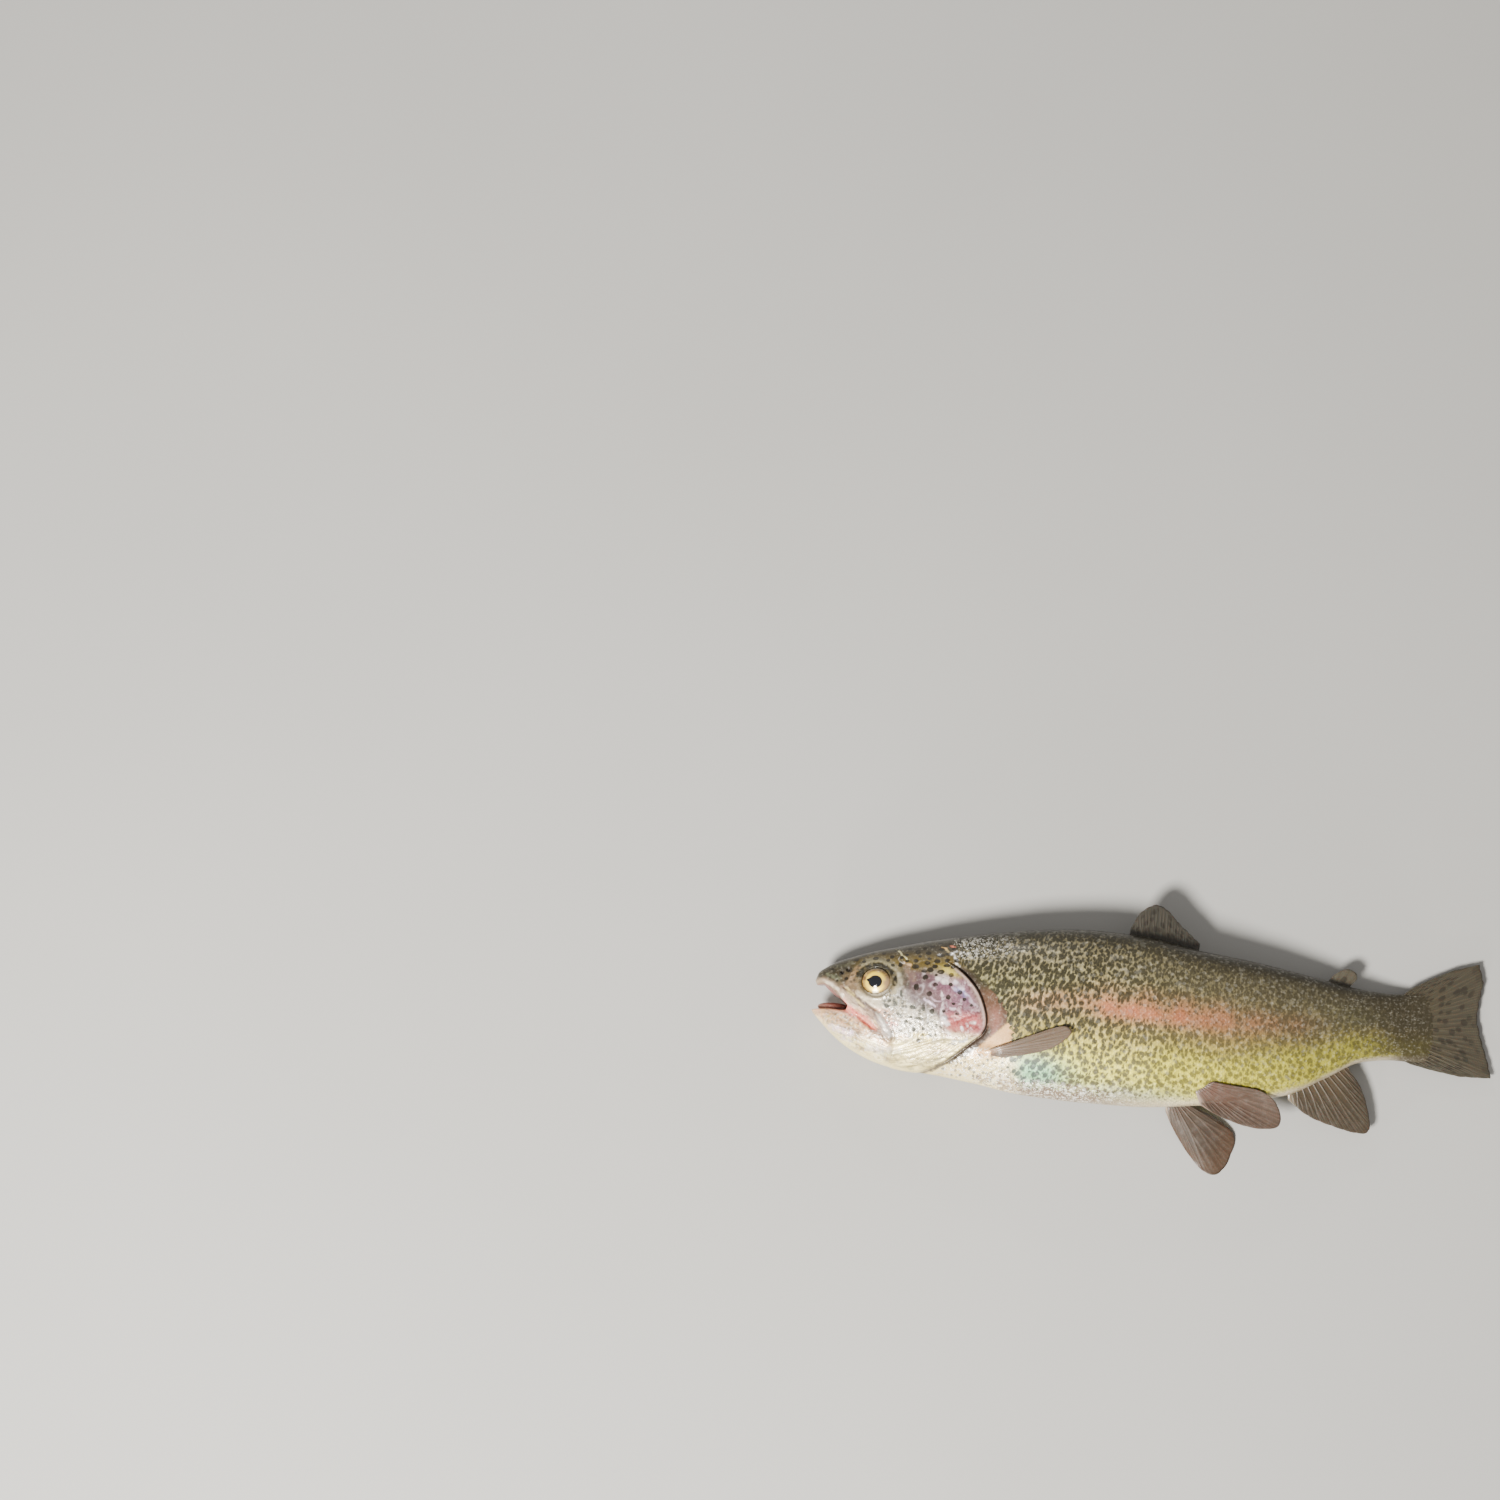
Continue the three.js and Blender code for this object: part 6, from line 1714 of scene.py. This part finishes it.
# all fins but the breast fins lay under water: their colours are painted darker than their own, as painted shade of the
# water
M_DORS = fin_material("fin_dorsal_skin", (0.032, 0.027, 0.016), (0.036, 0.032, 0.025), (0.056, 0.049, 0.037), spots=(10, 5, 0.80))
M_CAUD = fin_material("fin_caudal_skin", (0.055, 0.044, 0.024), (0.040, 0.034, 0.023), (0.068, 0.057, 0.036), spots=(20, 7, 0.70))
M_ANAL = fin_material("fin_anal_skin", (0.062, 0.044, 0.024), (0.040, 0.030, 0.019), (0.064, 0.048, 0.031), lead=(0.16, 0.13, 0.09), pale=0.05)
M_ADIP = fin_material("fin_adipose_skin", (0.045, 0.037, 0.020), (0.070, 0.061, 0.043), (0.050, 0.042, 0.026), spots=(3, 2, 0.6))
M_PECT = fin_material("fin_pectoral_skin", (0.108, 0.068, 0.044), (0.104, 0.072, 0.050), (0.135, 0.092, 0.052), lead=(0.16, 0.12, 0.085), pale=0.06, root=(0.40, 0.255, 0.170))
M_PELV = fin_material("fin_pelvic_skin", (0.100, 0.054, 0.038), (0.066, 0.044, 0.031), (0.105, 0.070, 0.052), lead=(0.26, 0.19, 0.15), pale=0.12)
M_PELR = fin_material("fin_pelvic_far_skin", (0.075, 0.054, 0.040), (0.045, 0.033, 0.024), (0.085, 0.062, 0.046), lead=(0.34, 0.28, 0.22), tint=(0.058, 0.028, 0.012), pale=0.12)

build_fin("trout_fin_dorsal", "fin_dorsal",
          [(117.2, 24.5, 0), (144.0, 19.5, 0)],
          [(118.2, 31.2, 0), (121.6, 37.2, 0), (127.0, 40.8, -0.4), (131.6, 39.6, -0.6), (135.8, 35.4, -0.4), (140.2, 31.2, -0.2), (145.2, 26.6, 0)],
          12, 2.2, 0.62, M_DORS, seed=3, curl=-0.5)
build_fin("trout_fin_adipose", "fin_adipose",
          [(194.5, 12.0, 0), (202.0, 10.0, 0)],
          [(195.6, 15.8, 0), (198.6, 18.6, 0), (202.8, 20.4, 0), (206.2, 19.0, 0), (206.4, 16.4, 0), (203.4, 14.8, 0)],
          5, 2.0, 0.9, M_ADIP, seed=4, ragged=0.05, per=10, rows=20, ripple=0.05, split=2.0)
build_fin("trout_fin_anal", "fin_anal",
          [(180.0, -26.0, 0), (202.5, -14.6, 0)],
          [(180.6, -31.2, 0), (188.0, -36.6, -0.3), (197.2, -40.0, -0.6), (208.2, -42.4, -1.0), (212.8, -40.6, -1.0), (211.4, -31.0, -0.6), (208.6, -24.0, -0.3), (204.4, -18.8, 0)],
          12, 2.0, 0.62, M_ANAL, seed=5, curl=-0.6)
build_fin("trout_fin_caudal", "fin_caudal",
          [(224.3, 11.4, 0), (224.3, -13.2, 0)],
          [(227.5, 14.2, 0), (235, 18.2, 0), (244, 22.4, 0), (254.6, 25.4, 0), (256.2, 18.4, -0.2), (254.6, 10.6, -0.3), (253.8, 4.0, -0.3), (255.2, -3.0, -0.3),
           (257.8, -11.0, -0.2), (259.4, -18.6, 0), (247, -18.6, 0), (236, -16.6, 0), (228, -14.8, 0)],
          24, 3.2, 0.66, M_CAUD, seed=6, per=8, rows=44, ragged=0.35, ripple=0.2, lead=0.0, edge_round=False)
PECT_ROOT = [(62.8, -19.9, 11.2), (63.2, -21.0, 10.8)]
PECT_EDGE = [(67.0, -18.5, 13.0), (72.0, -17.8, 14.0), (77.6, -16.0, 15.4), (84.7, -11.8, 16.6), (90.0, -9.7, 17.6), (93.8, -9.4, 18.2), (95.6, -11.5, 18.2), (92.4, -15.2, 17.4),
             (87.0, -18.3, 16.2), (79.0, -20.6, 15.0), (70.0, -22.0, 13.6)]
build_fin("trout_fin_pectoral_left", "fin_pectoral_left", PECT_ROOT, PECT_EDGE, 12, 1.7, 0.62, M_PECT, normal=(-0.1, 0.25, 1), seed=7, curl=0.3, ripple=0.25, hug=1.0)
build_fin("trout_fin_pelvic_left", "fin_pelvic_left",
          [(142.8, -29.4, 5.2), (148.6, -26.2, 6.2)],
          [(146.0, -35.4, 6.6), (153.0, -39.0, 5.8), (164.0, -42.4, 4.4), (172.6, -43.0, 3.4), (177.4, -40.6, 3.2), (175.6, -33.4, 5.0), (168.8, -29.0, 7.4), (158.0, -28.0, 8.8), (151.4, -27.0, 9.4)],
          10, 1.9, 0.62, M_PELV, normal=(0, 0.2, 1), seed=8, ripple=0.25, hug=0.9)
build_fin("trout_fin_pelvic_right", "fin_pelvic_right",
          [(134.0, -34.0, -6.0), (141.0, -33.0, -7.4)],
          [(134.6, -38.0, -9.4), (137.8, -44.0, -12.4), (143.6, -52.6, -14.4), (150.6, -60.0, -15.1), (156.4, -60.4, -14.7), (160.6, -54.0, -13.7), (161.8, -45.2, -12.2), (153.0, -38.6, -11.6), (144.0, -35.8, -9.6)],
          10, 1.9, 0.62, M_PELR, normal=(0, -0.3, 1), seed=9, ripple=0.15)


def right_pectoral():
    """Folded back under the fish, flat between flank and floor: it follows the flank's surface."""
    x = np.array([64.4, 80, 92, 97.4, 96.4, 88, 76, 68.4])
    y = np.array([-17.2, -13.4, -11.6, -12.8, -16.6, -20.4, -23.2, -23.4])

    def lay(pts, up):
        X, Y = pts[:, 0], pts[:, 1]
        b, l = BACK(X) + up, BELLY(X) - up
        c = (Y - (b + l) / 2) / ((b - l) / 2)
        s = (1 - np.abs(c) ** POWER) ** (1 / POWER)
        return -(HALF(X) + up) * (1 - EGG * c) * s

    edge = np.stack([x, y], 1)
    e = curve3(np.column_stack([edge, np.zeros(len(edge))])[0:8], True)
    s = np.linspace(0, 1, 118)
    B = e(s)
    A = np.stack([np.interp(s, [0, 1], [63.6, 67.2]), np.interp(s, [0, 1], [-18.0, -22.6]), np.zeros(len(s))], 1)
    t = np.linspace(0, 1, 34)
    S, T = np.meshgrid(s, t, indexing="ij")
    P = A[:, None] + (B - A)[:, None] * T[..., None]
    PH = S * 13
    q = PH % 1 - 0.5
    f1, f2 = 0.235 * sstep(0.30, 0.75, T), 0.115 * sstep(0.56, 1.0, T)
    ridge = np.maximum.reduce([gauss(q - i * f1 - j * f2, 0.10) for i in (-1, 1) for j in (-1, 1)])
    flat = P.reshape(-1, 3)
    rim = np.minimum(np.clip((1 - T) * 20, 0, 1), np.clip(np.minimum(S, 1 - S) * 40, 0, 1))
    inner = lay(flat, 0.32)
    outer = lay(flat, 0.42 + 0.62 * (0.55 + 0.45 * ridge.ravel()) * (0.35 + 0.65 * rim.ravel()))
    up = np.column_stack([flat[:, :2], outer])
    dn = np.column_stack([flat[:, :2], inner])
    m, r = S.shape
    V = np.concatenate([up, dn])
    idx = np.arange(m * r).reshape(m, r)
    a, b, c, d = idx[:-1, :-1], idx[1:, :-1], idx[1:, 1:], idx[:-1, 1:]
    o = m * r

    def strip(e):
        return np.stack([e[1:], e[:-1], e[:-1] + o, e[1:] + o], -1)

    F = np.vstack([np.stack([a, b, c, d], -1).reshape(-1, 4), np.stack([d, c, b, a], -1).reshape(-1, 4) + o,
                   strip(idx[:, 0]), strip(idx[::-1, -1]), strip(idx[-1, :]), strip(idx[0, ::-1])])
    vv = V[F] - V.mean(0)
    vol = np.einsum("ij,ij->i", vv[:, 0], np.cross(vv[:, 1], vv[:, 2])).sum() + np.einsum("ij,ij->i", vv[:, 0], np.cross(vv[:, 2], vv[:, 3])).sum()
    if vol < 0:
        F = F[:, ::-1]
    ob = make_mesh("trout_fin_pectoral_right", V, F)
    fco = np.stack([S.ravel(), T.ravel(), ridge.ravel()], 1)
    attr(ob.data, "fin_co", np.vstack([fco, fco]))
    attr(ob.data, "fish_co", V)
    ob.data.materials.append(M_PECT)
    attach(ob, "root")
    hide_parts("fin_pectoral_right")


right_pectoral()


# -------------------------------------------------- floor, light and camera
def floor():
    me = bpy.data.meshes.new("floor")
    me.from_pydata([(-3, -3, 0), (3, -3, 0), (3, 3, 0), (-3, 3, 0)], [], [(0, 1, 2, 3)])
    ob = bpy.data.objects.new("floor", me)
    bpy.context.scene.collection.objects.link(ob)
    N = Nodes("floor_paint")
    tc = N.new("ShaderNodeTexCoord")
    n = N.noise(tc.outputs["Object"], 6.0, 3.0, 0.5)
    N.link(N.mixc(n, lin4((0.352, 0.348, 0.334)), lin4((0.388, 0.383, 0.370))), N.bsdf.inputs["Base Color"])
    N.set(Roughness=0.75)
    me.materials.append(N.mat)


floor()


def area(name, loc, size, power, colour=(1, 1, 1), target=(0, 0, 0.01)):
    li = bpy.data.lights.new(name, "AREA")
    li.shape = "DISK"
    li.size = size
    li.energy = power
    li.color = colour
    ob = bpy.data.objects.new(name, li)
    ob.location = loc
    d = Vector(target) - Vector(loc)
    ob.rotation_euler = d.to_track_quat("-Z", "Y").to_euler()
    bpy.context.scene.collection.objects.link(ob)


area("key", (-0.60, -0.62, 1.00), 0.34, 55.0, (1.0, 0.972, 0.915))
area("glint_back", (-0.30, 0.98, 0.46), 0.10, 2.0, (1.0, 0.97, 0.92))
area("glint_belly", (-0.30, -1.10, 0.30), 0.14, 5.0, (1.0, 0.96, 0.91))
world = bpy.data.worlds.new("studio")
world.use_nodes = True
world.node_tree.nodes["Background"].inputs["Color"].default_value = (1.0, 0.975, 0.94, 1)
world.node_tree.nodes["Background"].inputs["Strength"].default_value = 0.48
bpy.context.scene.world = world

cam_data = bpy.data.cameras.new("camera")
cam = bpy.data.objects.new("camera", cam_data)
bpy.context.scene.collection.objects.link(cam)
bpy.context.scene.camera = cam
cam_data.sensor_width = 36
cam_data.sensor_fit = "HORIZONTAL"
cam_data.angle = math.radians(32.2)
cam_data.clip_start = 0.01
cam.location = (-0.10547, -0.06618, 1.02405)
cam.rotation_euler = (math.radians(9.666), math.radians(2.576), math.radians(3.220))

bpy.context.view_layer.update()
print("total", round(time.time() - T0, 1), "s")
